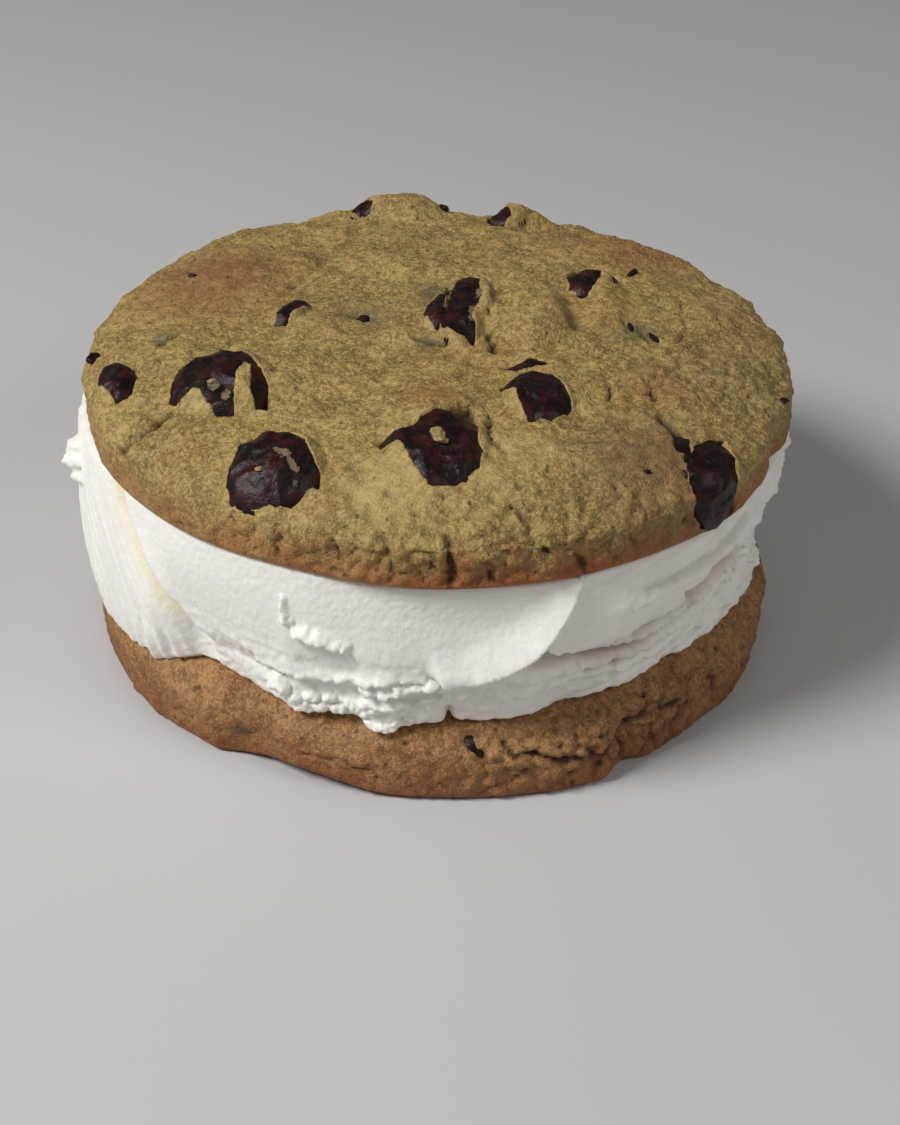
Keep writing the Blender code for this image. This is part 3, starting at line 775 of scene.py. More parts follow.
# closing it: the loose ends of the sheet meet, and both rims are drawn in under the cookies
bpy.ops.object.select_all(action="DESELECT")
cream.select_set(True)
bpy.context.view_layer.objects.active = cream
bpy.context.tool_settings.mesh_select_mode = (False, True, False)
bpy.ops.object.mode_set(mode="EDIT")
bpy.ops.mesh.select_all(action="SELECT")
bpy.ops.mesh.remove_doubles(threshold=0.02 * MM)
bpy.ops.mesh.select_all(action="DESELECT")
bpy.ops.object.mode_set(mode="OBJECT")


def rim_edges(piece, upper):
    """Marks the open edges at the top or at the bottom of a wrapped sheet."""
    counts = {}
    for face in piece.data.polygons:
        for key in face.edge_keys:
            counts[key] = counts.get(key, 0) + 1
    for edge in piece.data.edges:
        middle = sum(piece.data.vertices[i].co.z for i in edge.vertices) / 2 / MM
        edge.select = counts.get(tuple(sorted(edge.vertices)), 0) == 1 and (middle > 20) == upper


for upper, drawn_in, lowered in ((False, 0.93, -0.4), (True, 0.95, 0.15)):
    rim_edges(cream, upper)
    bpy.ops.object.mode_set(mode="EDIT")
    bpy.ops.mesh.extrude_edges_move(TRANSFORM_OT_translate={"value": (0, 0, lowered * MM)})
    bpy.ops.transform.resize(value=(drawn_in, drawn_in, 1), center_override=(0, 0, 0))
    bpy.ops.mesh.edge_face_add()
    bpy.ops.mesh.select_all(action="DESELECT")
    bpy.ops.object.mode_set(mode="OBJECT")
edit_faces(cream, [True] * len(cream.data.polygons), bpy.ops.mesh.normals_make_consistent)

points = read_points(cream)
angle = np.degrees(np.arctan2(points[:, 1], points[:, 0]))
angle = np.where(angle > 172, angle - 360, angle)
lobe_edge = np.interp(points[:, 2], *zip(*[(z, a) for a, z in reversed(CREASE)]))
from_crease = angle - lobe_edge
# painted shade in the crease where the front smear laps over the left lobe, together with a yellower tint
# of the cream there
yolk = np.where(from_crease < 0, bump(from_crease, 5.5), ease(1 - from_crease / 0.8))
yolk = yolk * ease((points[:, 2] - 14) / 5)
keep_values(cream, "yolk", yolk)

material, wire, place = new_finish("vanilla_ice_cream")
blotch = wire.noise(place, 7, 2)
crystals = wire.noise(place, 0.42, 3, 0.6)
fine = wire.noise(place, 0.2, 2)
colour = wire.mixed(blotch.between(0.3, 0.7), (0.86, 0.835, 0.76), (0.89, 0.87, 0.81))
# the crease: painted shade, partly a yellower cream
colour = wire.mixed(wire.kept("yolk") * 0.9, colour, (0.76, 0.68, 0.31))
# painted shade, pink-brown, in the grooves and in the hollow under the wave
colour = wire.mixed(wire.kept("hollow") * 0.85, colour, (0.58, 0.47, 0.43))
sockets = {
    "Base Color": colour,
    "Roughness": 0.26 + crystals * 0.4,
    "Subsurface Weight": 0.3,
    "Subsurface Radius": (1.0, 0.85, 0.6),
    "Subsurface Scale": 1.6 * MM,
    "Specular IOR Level": 0.4,
}
close_finish(wire, sockets, crystals * 0.6 + fine * 0.3, 0.13)
dress(cream, material, "ice_cream", slot="vanilla_ice_cream")


def facing_axes(around, up):
    """Directions across, upward and outward for a face turned to one angle and tilted up by another."""
    around, up = math.radians(around), math.radians(up)
    out = np.array([math.cos(around) * math.cos(up), math.sin(around) * math.cos(up), math.sin(up)])
    across = np.array([-math.sin(around), math.cos(around), 0])
    return across, np.cross(out, across), out


def settled(surface, spot):
    """The point of a surface nearest to a spot."""
    return surface[np.argmin(np.linalg.norm(surface - spot, axis=1))]


def rough_lumps(name, lumps_wanted, seed, rough=0.3):
    """Small rough balls as one piece, each (middle, facing, half sizes across, up and out, turn)."""
    balls = []
    for number, (middle, facing, half, turn) in enumerate(lumps_wanted):
        bpy.ops.object.select_all(action="DESELECT")
        fine = 5 if max(half) > 1.6 else 4 if max(half) > 0.55 else 3
        bpy.ops.mesh.primitive_ico_sphere_add(subdivisions=fine, radius=MM)
        ball = bpy.context.object
        unit = read_points(ball)
        swell = lumps(unit, 0.9, seed + number) + 0.5 * lumps(unit, 0.4, seed + number)
        across, up, out = facing_axes(*facing)
        a, b, c = (unit * (1 + rough * swell)[:, None] * half).T
        cos, sin = math.cos(math.radians(turn)), math.sin(math.radians(turn))
        placed = (a * cos - b * sin)[:, None] * across + (a * sin + b * cos)[:, None] * up
        write_points(ball, middle + placed + c[:, None] * out)
        balls.append(ball)
    for ball in balls:
        ball.select_set(True)
    bpy.context.view_layer.objects.active = balls[0]
    bpy.ops.object.join()
    balls[0].name = name
    balls[0].data.name = name
    return balls[0]


# Upper cookie: the same dough, domed and paler, which lies on the ice cream. Its skin drapes
# over each chocolate morsel, and is torn open where the morsel shows.
UPPER_DOUGH = Dough(
    base=30.0,
    widest=4.8,
    height=11.0,
    radius=45.0,
    outward=3.0,
    upward=2.0,
    waves=((3, 0.28, -110), (5, 0.22, -5), (8, 0.16, -45), (13, 0.10, 70)),
    dents=((-13, 7, 0.5), (-22, 4, -0.7), (-8, 36, -1.4)),
    swells=(
        (10.2, 1.5, 6.6, 11.0, 8, 1.9, 2.2),
        (21.2, 4.5, 3.2, 9.0, -8, 0.9, 1.3),
        (16.9, -0.5, 2.0, 7.0, 0, -0.6, 1.0),
        (-25, -16, 11, 9, 0, 1.0, 1.0),
        (-33.0, -9.5, 5.5, 4.2, 20, 0.9, 1.3),
        (-18, -33, 10, 9, 0, 0.8, 1.0),
        (-2.5, -24, 9, 5.5, 22, 1.0, 1.3),
        (1, -31, 10, 8, 0, 0.6, 1.0),
        (11.5, -20, 8, 7.5, 0, 0.6, 1.1),
        (3.5, -11.2, 13, 2.6, -18, -0.8, 1.0),
        (-9, 1, 5, 4, 0, -0.8, 1.0),
        (22, -31, 11, 8, 15, 0.8, 1.0),
        (27, -16, 5.5, 6.5, 20, 0.7, 1.8),
        (31, -29, 7, 7, 0, 0.7, 1.0),
        (-30, 14, 12, 12, 0, 0.9, 1.0),
        (-16, 21, 5, 13, 20, -0.9, 1.0),
        (-6, 16, 8, 6, 0, 0.6, 1.0),
        (-24, 5, 5, 4, 30, -0.7, 1.0),
        (-8, -12, 10, 6, 20, -0.6, 1.0),
        (20, 22, 10, 6, 0, 0.6, 1.0),
        (33, 3, 6, 9, 0, 0.6, 1.2),
        (-6.0, 38, 7.4, 5.5, -5, 3.0, 1.35),
        (-12.5, 37.5, 6.5, 5, 0, 1.0, 1.0),
        (11.6, 36.3, 4.8, 3.8, 0, 1.9, 1.3),
        (3.5, 43, 6, 7, 0, -1.5, 1.0),
    ),
)
UP = (-90, 90)
BLUNT = 1.35  # above 1, a morsel's crown is flatter than a ball's
# half are the half sizes along, across and down; rise is how far the crown stands above the
# dough round it; opening is where the dough is torn, from the morsel's own middle
Morsel = namedtuple("Morsel", "name place facing half rise turn opening")
MORSELS = (
    Morsel("chip_left", (-25.6, -17.4), UP, (6.5, 6.9, 2.6), 1.25, 20, (
        (-31.2, -20.5), (-31.2, -16), (-30.4, -13.5), (-29, -11.9), (-27.3, -11.1), (-25.3, -11.6),
        (-23.8, -13), (-22.3, -15), (-21, -17), (-20, -19), (-19.5, -23.4), (-21, -22.9),
        (-21.8, -20.4), (-21.9, -17.2), (-22.9, -16.5), (-23.8, -18), (-23.7, -21.5), (-23.3, -24.2),
        (-25.2, -24.1), (-26.4, -22.4), (-27.4, -20.8), (-28.6, -20.2), (-29.6, -20.8), (-30.5, -21.4))),
    Morsel("chip_front_left", (-18, -34.3), UP, (5.7, 5.8, 2.4), 1.35, 75, (
        (-21.3, -29.5), (-19.8, -29.2), (-18.4, -29.5), (-17.1, -30.5), (-15.6, -31), (-14.8, -32),
        (-14.2, -33.6), (-13.6, -35.3), (-12.8, -36), (-12.9, -37.8), (-14.2, -38.3), (-15, -39.4),
        (-15.8, -39.9), (-17.4, -39.7), (-19.8, -39.4), (-21.6, -38.8), (-22.5, -37.6), (-22.9, -36),
        (-22.5, -34), (-21.9, -32), (-21.6, -30.6))),
    Morsel("chip_front", (-0.4, -31), UP, (6.6, 6.3, 2.6), 1.25, 75, (
        (-7.3, -30), (-6.2, -31.5), (-4.1, -32), (-3.2, -33.5), (-2.8, -34.8), (-1.6, -36.6),
        (-0.4, -37.3), (2, -37.1), (3.3, -35.8), (4.4, -34.4), (4.8, -32.5), (4.3, -30.8),
        (4.3, -28), (4.2, -25.5), (3.4, -23.4), (2.2, -24), (0.5, -25.3), (-1, -27), (-2.2, -28.3),
        (-3.5, -29.5), (-5, -29.6))),
    Morsel("chip_front_right", (11.5, -20.3), UP, (5.4, 4.6, 2.4), 1.1, 95, (
        (7.1, -18.8), (9.2, -17.6), (10.2, -16), (11.9, -15), (12.9, -15.8), (13.4, -17.5),
        (14.3, -19.5), (15, -21.3), (15.1, -22.7), (14.5, -24), (13, -25), (10.2, -25.2),
        (9.4, -23.6), (9.0, -22), (8.6, -20.8), (7.8, -19.9))),
    Morsel("chip_sunken", (10.2, -12.6), UP, (3.9, 1.8, 1.6), 0.15, 15, (
        (7, -13.9), (7.6, -12.8), (9, -12.3), (10.3, -11.7), (11.1, -10.9), (11.7, -11.9),
        (13.7, -12.3), (11.5, -12.8), (9.8, -13.4), (8.5, -14.4))),
    Morsel("chip_middle", (2.9, 1.2), UP, (9.6, 3.3, 2.6), 1.9, 84, (
        (-0.1, -3.4), (0.2, -1.0), (0.9, 1.6), (1.3, 3.6), (1.8, 5.6), (2.5, 8), (3.0, 9.6),
        (4.2, 11.2), (5.0, 10.8), (5.0, 8.6), (4.6, 5), (5.0, 2), (4.5, 0.5), (4, -1), (3.7, -2.5),
        (4.0, -5), (4.1, -7.9), (3, -7.1), (1.5, -6.1), (0.5, -5.4))),
    Morsel("chip_middle_left", (-0.3, 0.2), UP, (4.6, 2.1, 2.2), 1.5, 80, (
        (-2.2, -1), (-1.6, 0.9), (-1.2, 2.1), (0, 3.2), (1.1, 4.6), (1.2, 2.4), (0.6, -0.4),
        (0.1, -3.2), (-0.6, -4.1), (-1.4, -3.1), (-2.1, -1.9))),
    Morsel("chip_inner_left", (-18.9, 0.2), UP, (3.6, 1.9, 1.8), 0.7, 60, (
        (-20.6, -3), (-20.4, -0.6), (-19.6, 1.8), (-18.2, 3.3), (-17, 3.5), (-16.7, 2.1),
        (-17.3, 0.9), (-18.2, -0.2), (-18.9, -1.6), (-19.4, -3.4))),
    Morsel("chip_back_right", (19.6, 11.4), UP, (4.6, 3.2, 2.2), 1.2, 62, (
        (16.5, 13), (17.2, 14.5), (18.5, 15.4), (20, 15.6), (20.8, 16.7), (21.8, 16.2),
        (22.5, 14.5), (22.9, 12), (22.4, 10.3), (21.7, 12), (21.4, 13.5), (20.8, 12), (20.2, 10),
        (19.5, 8.5), (18.6, 7.4), (17.8, 6.1), (17.3, 8), (16.6, 8.6), (16.5, 10))),
    Morsel("chip_back", (9.0, 34.4), UP, (2.9, 2.5, 2.0), 1.0, 0, (
        (6.4, 36.4), (6.2, 33.8), (7.2, 32.0), (8.6, 32.2), (9.4, 33.6), (9.0, 35.2), (8.2, 36.6))),
    Morsel("chip_back_left", (-11.2, 36.6), UP, (2.6, 2.0, 1.8), 0.7, 30, (
        (-13.4, 37.6), (-13.2, 35.8), (-12.0, 34.8), (-10.6, 35.0), (-10.4, 36.4), (-11.4, 37.8))),
    Morsel("chip_rim", (31.3, -29.8, 35.5), (-43.5, 35), (5.0, 5.8, 2.0), 0.35, 0, (
        (0.1, 3.9), (3.1, 3.6), (4.6, 2.9), (3.6, 1.2), (2.2, -0.4), (2.0, -2.2), (2.9, -4.4),
        (0.4, -5.4), (-1.8, -5.3), (-3.9, -4.0), (-4.9, -2.1), (-4.5, 0.8), (-2.7, 2.7))),
    Morsel("chip_far_left", (-39.0, -13, 37), (-161.5, 60), (5.0, 2.6, 2.2), 0.8, 0, (
        (-3.9, -0.9), (-3.9, 0.2), (-2.4, 1.5), (-0.4, 2.4), (1.3, 2.5), (3.3, 2),
        (5.0, 1.3), (4.8, -0.8), (2.9, -0.8), (1.5, -1.4), (0, -2))),
)


def facing_frame(morsel, dough):
    """A morsel's middle on the even dome, and its directions across, up the dome and outward."""
    if morsel.facing == UP:
        middle = np.array([*morsel.place, top_height(dough, *morsel.place)])
    else:
        middle = np.array(morsel.place, float)
    return middle, *facing_axes(*morsel.facing)


def crown_height(morsel, a, b, spare=0.0):
    """How far a morsel's crown stands above the even dough, at places from its middle."""
    turn = math.radians(morsel.turn)
    along = (a * math.cos(turn) + b * math.sin(turn)) / morsel.half[0]
    beside = (b * math.cos(turn) - a * math.sin(turn)) / morsel.half[1]
    inside = np.sqrt(np.clip(1 - (along**2 + beside**2) ** BLUNT, 0, 1))
    return morsel.rise + morsel.half[2] * (inside - 1) + spare


def creased(places, seed):
    """The folds and dimples of a morsel that softened and set again."""
    folds = 0.5 - np.abs(lumps(places, 3.3, seed)) * 1.7
    return 0.42 * folds + 0.28 * lumps(places, 2.2, seed + 1) + 0.09 * lumps(places, 0.8, seed + 2)


def inside_outline(a, b, outline):
    """Distance inside a closed outline, below 0 outside it."""
    spots = np.stack([a, b], axis=1)
    nearest = np.full(len(spots), 99.0)
    within = np.zeros(len(spots), bool)
    for start, end in zip(outline, np.roll(outline, -1, axis=0)):
        along = end - start
        share = np.clip((spots - start) @ along / (along @ along), 0, 1)
        nearest = np.minimum(nearest, np.linalg.norm(spots - start - share[:, None] * along, axis=1))
        crosses = (start[1] > b) != (end[1] > b)
        with np.errstate(divide="ignore", invalid="ignore"):
            where = start[0] + (b - start[1]) * along[0] / along[1]
        within ^= crosses & (a < where)
    return np.where(within, nearest, -nearest)


def soft_positive(value, soft=0.35):
    """The value where it is above 0, and 0 elsewhere, with a rounded corner."""
    return 0.5 * (value + np.sqrt(value * value + soft * soft)) - 0.5 * soft * np.exp(-np.abs(value))


def opening_of(morsel):
    outline = np.array(morsel.opening, float)
    return outline - morsel.place if morsel.facing == UP else outline


def drape(points, even, outward, dough):
    """Lifts the dough over every morsel and tears it open. Also how torn and how thin it is."""
    torn = np.zeros(len(points))
    thin = np.zeros(len(points))
    for number, morsel in enumerate(MORSELS):
        middle, across, up, out = facing_frame(morsel, dough)
        reach = max(morsel.half) + 3
        near = np.linalg.norm(even - middle, axis=1) < reach
        local = even[near] - middle
        a, b = local @ across, local @ up
        over = crown_height(morsel, a, b) + creased(even[near], 60 + 3 * number)
        points[near] += soft_positive(over + 0.28)[:, None] * out
        ragged = 0.18 * lumps(even[near], 1.3, 51) + 0.08 * lumps(even[near], 0.6, 52)
        inside = inside_outline(a, b, opening_of(morsel)) + ragged
        open_share = ease((inside + 0.12) / 0.34)
        points[near] -= (1.6 * open_share)[:, None] * out
        torn[near] = np.maximum(torn[near], open_share)
        thin[near] = np.maximum(thin[near], ease((over + 0.6) / 0.5))
    return torn, thin


upper = turned_solid("baked_upper_cookie", dough_outline(UPPER_DOUGH))
skin(upper, 0.38)
centres = face_centres(upper)
covered = (centres[:, 2] < 30.05) & (np.hypot(centres[:, 0], centres[:, 1]) < 42)
edit_faces(upper, covered, bpy.ops.mesh.decimate, ratio=0.08)
centres = face_centres(upper)
by_morsel = np.zeros(len(centres), bool)
for morsel in MORSELS:
    middle, across, up, out = facing_frame(morsel, UPPER_DOUGH)
    local = centres - middle
    near = (np.linalg.norm(local, axis=1) < 9) & (centres[:, 2] > 30.6)
    inside = inside_outline(local[near] @ across, local[near] @ up, opening_of(morsel))
    by_morsel[near] |= np.abs(inside) < 0.75
edit_faces(upper, by_morsel, bpy.ops.mesh.subdivide, number_cuts=1)

even = pressed_to_dome(UPPER_DOUGH, read_points(upper))
write_points(upper, even)
outward = read_normals(upper)
angle = np.degrees(np.arctan2(even[:, 1], even[:, 0]))
top = ease((even[:, 2] - 30.3) / 1.0)


def on_top(x, y):
    return (x, y, float(top_height(UPPER_DOUGH, x, y)))


UPPER_CRACKS = [
    ([on_top(*p) for p in line], width, depth)
    for line, width, depth in (
        (((19.9, -16.5), (20.0, -19.8)), 0.6, 0.9),
        (((25.2, -16.5), (25.1, -19.5)), 0.6, 1.0),
        (((25.6, -23), (26.8, -24.2), (27.5, -25.6), (27.6, -28.2)), 1.1, 1.7),
        (((26.5, -13), (25, -16), (25.5, -20), (26.0, -23)), 0.5, 0.6),
        (((31.3, 9), (30.6, 4), (31.2, 0), (30, -3)), 0.6, 0.55),
        (((31, -12.3), (32.2, -12.8)), 0.5, 0.9),
        (((-14.3, -20.4), (-14, -21.8)), 0.5, 0.7),
        (((-36, -26.5), (-33.5, -25), (-31.8, -23.5), (-31, -22.2)), 0.9, 0.9),
        (((-34.5, -7.6), (-34.2, -5.6), (-33, -4.8)), 0.9, 1.3),
        (((-16.5, 20), (-16, 15), (-17.5, 11.5), (-20, 8), (-21, 3)), 1.3, 0.4),
        (((-12.2, 40), (-12.5, 34), (-12, 28), (-15, 21), (-16.5, 17)), 1.8, 0.45),
        (((-2.9, -6.0), (-1.2, -6.8), (0.2, -7.5)), 0.9, 1.6),
        (((5.8, -24.6), (5.9, -27), (5.7, -30)), 0.55, 1.2),
        (((6.6, -30), (7.4, -31)), 0.8, 0.8),
        (((5.7, -5), (6.3, -7), (6.3, -9.4)), 0.8, 1.3),
        (((-6.4, -17.7), (-5.6, -18.3)), 0.6, 0.8),
        (((-33.4, 41.4), (-32.6, 42)), 1.0, 1.0),
        (((-10.3, 0.4), (-9.3, -0.3)), 1.7, 1.2),
        (((23.2, 0.6), (23.6, -2)), 0.5, 0.5),
        (((25, -2), (26, -5)), 0.6, 0.6),
    )
]
UPPER_CRACKS += [
    ([on_rim(UPPER_DOUGH, *p) for p in line], width, depth)
    for line, width, depth in (
        (((-97.5, 36.4), (-96.8, 34.6), (-96, 32.8)), 0.8, 0.8),
        (((-88.5, 36.6), (-88.2, 34.4), (-87.7, 32), (-88, 30.6)), 0.8, 1.0),
        (((-78.5, 38), (-76.5, 36.6), (-75, 34.6), (-74, 34)), 0.7, 0.9),
        (((-70.5, 33.4), (-69, 31.8), (-68.6, 30.6)), 0.7, 0.8),
        (((-104, 35), (-103, 32.8)), 0.6, 0.6),
        (((-62, 34.6), (-60.5, 32.2)), 0.6, 0.6),
        (((-83, 33.6), (-82, 31.2)), 0.6, 0.7),
        (((-113, 33.8), (-112, 31.8)), 0.6, 0.6),
        (((-120, 34.6), (-118.5, 33)), 0.5, 0.5),
    )
]
split = crack_depth(even, UPPER_CRACKS)
crumb_middle, crumb_crack, crumb_share = crumbs(even + 0.8 * lumps(even, 2.4, 8)[:, None], 2.8, 22)
reach = np.hypot(even[:, 0], even[:, 1])
front_edge = (0.25 + 0.75 * bump(turn_between(angle, -82), 48)) * ease((reach - 34) / 7)
right_patch = bump(np.hypot(even[:, 0] - 30, even[:, 1] + 12), 19)
cracked = np.clip(np.maximum(front_edge, 0.85 * right_patch), 0, 1)
crumbled = (0.16 + 0.84 * cracked) * bump(crumb_crack, 0.6)
pore_middle, _, pore_share = crumbs(even, 2.0, 23)
pores = ease(1 - pore_middle / (0.3 + 0.5 * pore_share)) * (pore_share > 0.55)
grain_middle, _, grain_share = crumbs(even + 0.3 * lumps(even, 0.9, 9)[:, None], 1.3, 24)
relief = 0.40 * lumps(even, 9, 1) + 0.40 * lumps(even, 4.2, 2) + 0.30 * lumps(even, 2.1, 3)
relief += 0.11 * lumps(even, 1.1, 4) + (0.13 + 0.22 * cracked) * (0.6 - grain_middle)
relief -= 0.42 * crumbled + 0.55 * pores
relief += 0.28 * cracked * (crumb_share - 0.5) + 0.14 * cracked * lumps(even, 1.5, 12)
valley = ease(-relief / 1.1)
relief -= split
shaped = shape_outline(UPPER_DOUGH, even)
torn, thin = drape(shaped, even, outward, UPPER_DOUGH)
relief = np.maximum(relief * (1 - 0.8 * thin), -0.16 - 3 * (1 - thin))
shaped += outward * (relief * top)[:, None]
write_points(upper, shaped)
# painted shade in cracks, crumb seams, pores, low places and round the torn openings, partly the darker
# crumb inside the cracks
hollow = split * 0.8 + 0.2 * crumbled + 0.5 * pores + 0.9 * torn + 0.22 * valley
keep_values(upper, "hollow", np.clip(hollow, 0, 1))
low_edge = 1.15 - (even[:, 2] - 30) / 5.0
front_brown = 0.45 + 0.55 * bump(turn_between(angle, -66), 80)
browned = np.clip(low_edge + 0.4 * lumps(even, 3.5, 6), 0, 1) * front_brown
# broad patches mixed toward the crust colour: partly browning, partly painted shade where the top falls
# off in light
TANNED_AND_SHADED = (
    (-30, 10, 17, 0.55), (26, 27, 18, 0.38), (25, -31, 12, 0.45), (19, 2, 9, 0.22),
    (4, -11, 12, 0.15), (27, -16, 8, 0.34), (-1.5, -21.5, 6, 0.3),
)
for x, y, wide, share in TANNED_AND_SHADED:
    spread = bump(np.hypot(even[:, 0] - x, even[:, 1] - y), wide)
    browned = np.maximum(browned, share * spread * (1 + 0.5 * lumps(even, 4, 11)))
keep_values(upper, "browned", browned)
# spots where chocolate shows grey-green through thin dough, and broad patches of painted shade where the
# top falls off in light
BRUISES_AND_SHADE = (
    (-9.7, 0.2, 3.4, 0.9), (24.6, -2.6, 3.4, 0.75), (16.6, -2, 1.8, 0.7), (23.5, -33, 1.4, 0.7),
    (-18.4, 0.6, 2.2, 0.5), (-1.2, 6.5, 4.2, 0.55), (-33, 13, 4, 0.3), (23.4, 0.4, 1.2, 0.6),
    (-22.4, -14.6, 2.6, 0.5), (-34.5, -5.5, 2.4, 0.5), (-9.7, 0.4, 6, 0.35),
    (24, -31, 12, 0.46), (-30, 10, 14, 0.22), (27, -14, 6, 0.22), (37, -10, 12, 0.3),
    (-1.5, -7, 2.2, 0.5),
)
bruise = np.zeros(len(even))
for x, y, wide, share in BRUISES_AND_SHADE:
    bruise = np.maximum(bruise, share * bump(np.hypot(even[:, 0] - x, even[:, 1] - y), wide * 1.2))
keep_values(upper, "bruise", np.clip(bruise * (1 + 0.6 * lumps(even, 1.2, 10)), 0, 1) * top)
# a paler skin of dough over the morsels, and broad pale patches at the front that are partly painted
# light where the front is most lit
skin_and_light_share = 0.2 * thin
for x, y, wide, share in ((-6, -38, 9, 0.6), (5, -37, 7, 0.35), (9, -31, 7, 0.3)):
    spread = bump(np.hypot(even[:, 0] - x, even[:, 1] - y), wide)
    skin_and_light_share = np.maximum(skin_and_light_share, share * spread * (1 + 0.5 * lumps(even, 3, 13)))
keep_values(upper, "skin", np.clip(skin_and_light_share * (1 - torn), 0, 1))
upper_dough = baked_dough(
    "upper_dough",
    pale=(0.40, 0.282, 0.092),
    middle=(0.28, 0.184, 0.053),
    olive=(0.145, 0.096, 0.026),
    brown=(0.060, 0.030, 0.009),
    crust=(0.31, 0.093, 0.027),
    toast=(0.32, 0.175, 0.052),
    sugar=(0.52, 0.390, 0.155),
)
dress(upper, upper_dough, "upper_cookie", slot="upper_dough")

# Chocolate morsels: dark drops that softened in the oven, sank into the dough and set again
# with dull, creased faces. Each is a ball pressed to its own crown under the dough's skin.
material, wire, place = new_finish("dark_chocolate")
blotch = wire.noise(place, 2.2, 3, 0.6)
dust = wire.noise(place, 0.8, 4, 0.7)
grain = wire.noise(place, 0.3, 3, 0.6)
colour = wire.mixed(blotch.between(0.44, 0.62), (0.006, 0.0022, 0.002), (0.032, 0.006, 0.005))
colour = wire.mixed(dust.between(0.61, 0.72) * 0.3, colour, (0.15, 0.095, 0.08))
smear = wire.kept("smear") + (grain - 0.5) * 1.6 + (dust - 0.5) * 2.4
colour = wire.mixed(smear.between(0.5, 0.8), colour, (0.19, 0.145, 0.085))
sockets = {
    "Base Color": colour,
    "Roughness": 0.18 + dust * 0.4,
    "Specular IOR Level": 0.24,
}
close_finish(wire, sockets, grain * 0.3 + dust * 0.7 + blotch * 0.5, 0.16)
dark_chocolate = material


def dropped_on(dough, places, direction):
    """The places moved along one direction on to a cookie's even dome or wall."""
    shoulder = dough.base + dough.widest
    crown = dough.height - dough.widest
    low, high = np.full(len(places), -14.0), np.full(len(places), 14.0)
    for _ in range(26):
        middle = (low + high) / 2
        trial = places + middle[:, None] * direction
        out = (np.hypot(trial[:, 0], trial[:, 1]) / dough.radius) ** dough.outward
        up = (np.maximum(trial[:, 2] - shoulder, 0) / crown) ** dough.upward
        beyond = out + up > 1
        high = np.where(beyond, middle, high)
        low = np.where(beyond, low, middle)
    return places + low[:, None] * direction


# (x, y, half length, half width, turn) of films of dough wiped over the morsels
SMEARS = (
    (-17.0, -34.6, 1.3, 0.8, -20), (-15.8, -36.0, 1.3, 0.6, -50), (-26.2, -20.1, 1.1, 1.0, 60),
    (-24.6, -21.8, 0.8, 1.3, 0), (3.7, -2.6, 0.6, 2.8, -6), (4.6, 2.2, 0.5, 2.2, 4),
    (4.4, 8.6, 0.4, 1.8, -8), (-17.4, 2.9, 0.7, 0.3, 40), (20.6, 13.6, 0.4, 1.2, 20),
)


def set_morsel(morsel, dough, seed):
    """A morsel as a ball, pressed flat below and given its crown above."""
    bpy.ops.object.select_all(action="DESELECT")
    fine = 5 if max(morsel.half) > 4 else 4
    bpy.ops.mesh.primitive_ico_sphere_add(subdivisions=fine + 1, radius=MM)
    ball = bpy.context.object
    ball.name = "chocolate_" + morsel.name
    ball.data.name = ball.name
    unit = read_points(ball)
    middle, across, up, out = facing_frame(morsel, dough)
    turn = math.radians(morsel.turn)
    along, beside = unit[:, 0] * morsel.half[0], unit[:, 1] * morsel.half[1]
    a = along * math.cos(turn) - beside * math.sin(turn)
    b = along * math.sin(turn) + beside * math.cos(turn)
    base = dropped_on(dough, middle + a[:, None] * across + b[:, None] * up, out)
    spread = np.clip(np.hypot(unit[:, 0], unit[:, 1]), 0, 1)
    blunt = np.sign(unit[:, 2]) * np.sqrt(1 - spread ** (2 * BLUNT))
    crown = morsel.rise + morsel.half[2] * (blunt - 1)
    lifted = shape_outline(dough, base) + (crown + creased(base, seed))[:, None] * out
    write_points(ball, lifted)
    smear = np.zeros(len(base))
    for x, y, long, wide, lean in SMEARS:
        lean = math.radians(lean)
        right, back = base[:, 0] - x, base[:, 1] - y
        along = (right * math.cos(lean) + back * math.sin(lean)) / long
        beside = (back * math.cos(lean) - right * math.sin(lean)) / wide
        smear = np.maximum(smear, ease(1.25 - np.hypot(along, beside)))
    keep_values(ball, "smear", smear)
    dress(ball, dark_chocolate, morsel.name, slot="dark_chocolate")
    return ball


morsels = {}
for number, morsel in enumerate(MORSELS):
    morsels[morsel.name] = read_points(set_morsel(morsel, UPPER_DOUGH, 60 + 3 * number))
low_middle = on_rim(LOWER_DOUGH, -83.6, 7.3)
set_morsel(
    Morsel("chip_low", low_middle, (-83.6, 20), (1.7, 1.6, 1.6), 0.1, 0, ()), LOWER_DOUGH, 120
)

# Crumbs and flecks: bits of dough stuck on the morsels and small flecks of chocolate in the
# dough, too small to be nodes. Each is a rough ball sunk in what it sticks to.
BITS_ON_MORSELS = (
    ("chip_front", 0.0, -32.0, 0.75, 1.5, 0.5, 8), ("chip_front", 0.5, -33.1, 0.5, 0.4, 0.3, 0),
    ("chip_front_left", -20.6, -38.0, 0.5, 0.35, 0.2, 20), ("chip_left", -26.4, -20.4, 0.5, 0.4, 0.2, 60),
)
FLECKS = (
    (25.3, 15.5, 1.2, 0.45, 0.25, 62), (-43.6, -6.0, 1.1, 0.8, 0.6, 80),
    (23.1, -0.9, 1.1, 0.35, 0.2, 95), (25.6, -3.8, 1.3, 0.4, 0.2, 105),
    (42.3, -12.0, 0.8, 0.5, 0.3, 40), (-33.0, 12.0, 0.6, 0.4, 0.2, 0), (23.5, -33.0, 0.5, 0.3, 0.2, 20),
    (-3.4, 38.9, 0.6, 0.4, 0.3, 0), (-0.2, 37.6, 0.8, 0.7, 0.5, -30), (-9.7, -0.3, 0.8, 0.7, 0.5, 10),
)
crumb_lumps = []
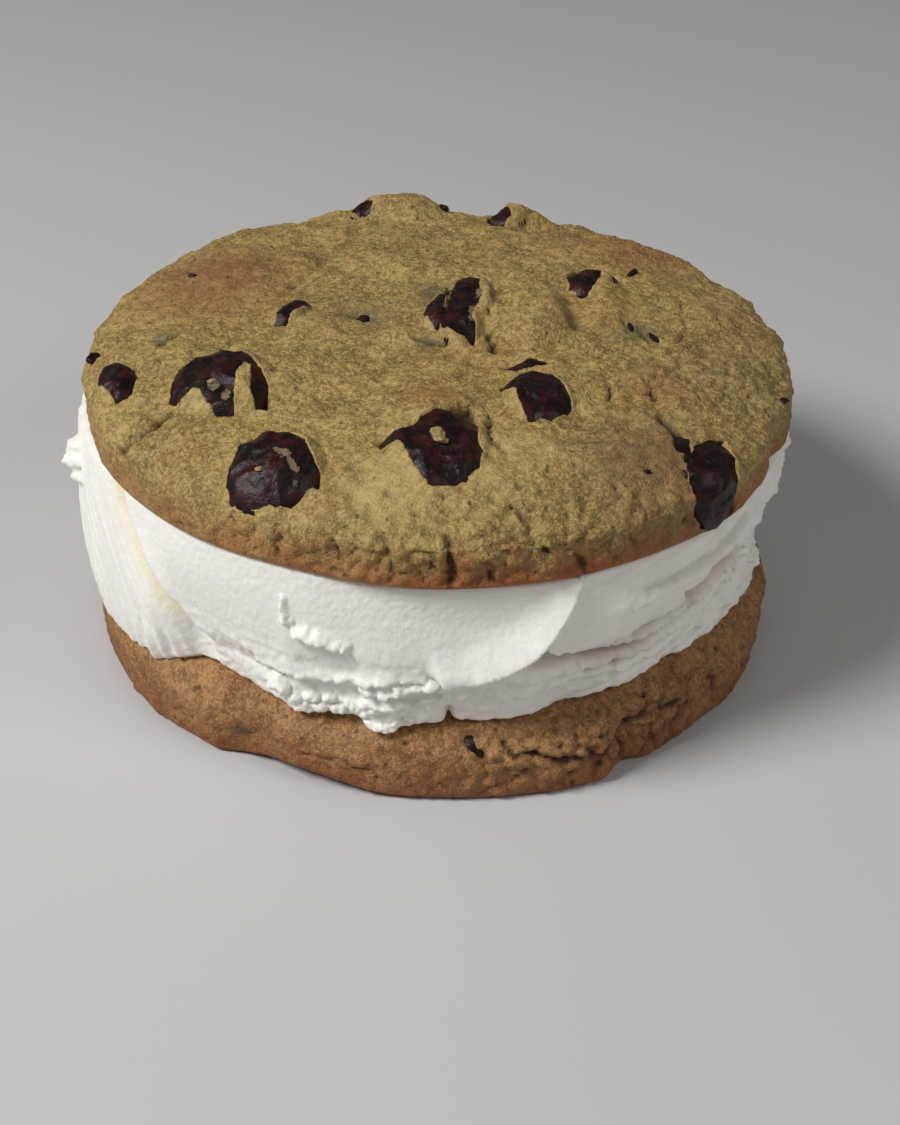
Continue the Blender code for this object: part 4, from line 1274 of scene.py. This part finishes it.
for morsel_name, x, y, long, wide, out, turn in BITS_ON_MORSELS:
    spot = settled(morsels[morsel_name], (x, y, 43))
    crumb_lumps.append((spot, UP, (long, wide, out), turn))
crumbs_on_top = rough_lumps("dough_crumbs", crumb_lumps, 300)
dress(crumbs_on_top, upper_dough, slot="upper_dough")
top_of_dough = read_points(upper)
fleck_lumps = []
for x, y, long, wide, out, turn in FLECKS:
    spot = settled(top_of_dough, (x, y, top_height(UPPER_DOUGH, x, y) + 1))
    fleck_lumps.append((spot, UP, (long, wide, out), turn))
flecks = rough_lumps("chocolate_flecks", fleck_lumps, 400)
dress(flecks, dark_chocolate, slot="dark_chocolate")

# Floor, lights and camera.
bpy.ops.object.select_all(action="DESELECT")
bpy.ops.mesh.primitive_plane_add(size=6, location=(0, 0, -0.0001))
floor = bpy.context.object
floor.name = "floor"
material, wire, place = new_finish("pale_floor")
close_finish(wire, {"Base Color": (0.55, 0.545, 0.54, 1), "Roughness": 0.7})
floor.data.materials.append(material)


def area_light(name, place, aim, size, power):
    lamp = bpy.data.lights.new(name, "AREA")
    lamp.shape = "DISK"
    lamp.size = size
    lamp.energy = power
    holder = bpy.data.objects.new(name, lamp)
    holder.location = place
    direction = np.array(aim) - place
    holder.rotation_euler = (
        Euler((math.acos(-direction[2] / np.linalg.norm(direction)), 0,
               math.atan2(direction[1], direction[0]) - math.pi / 2))
    )
    bpy.context.scene.collection.objects.link(holder)


area_light("key", (-0.47, -0.25, 0.57), (0, 0, 0.02), 0.26, 5.2)
area_light("fill", (0.52, -0.30, 0.52), (0, 0, 0.02), 0.3, 1.1)
world = bpy.data.worlds.new("studio")
bpy.context.scene.world = world
world.use_nodes = True
world.node_tree.nodes["Background"].inputs["Color"].default_value = (1, 0.99, 0.97, 1)
world.node_tree.nodes["Background"].inputs["Strength"].default_value = 0.13
bpy.context.scene.view_settings.view_transform = "Standard"

camera_data = bpy.data.cameras.new("camera")
camera_data.lens = 55.39
camera = bpy.data.objects.new("camera", camera_data)
camera.location = (0, -0.197313, 0.136226)
camera.rotation_euler = [math.radians(turn) for turn in (56.078, -1.392, 0.379)]
bpy.context.scene.collection.objects.link(camera)
bpy.context.scene.camera = camera
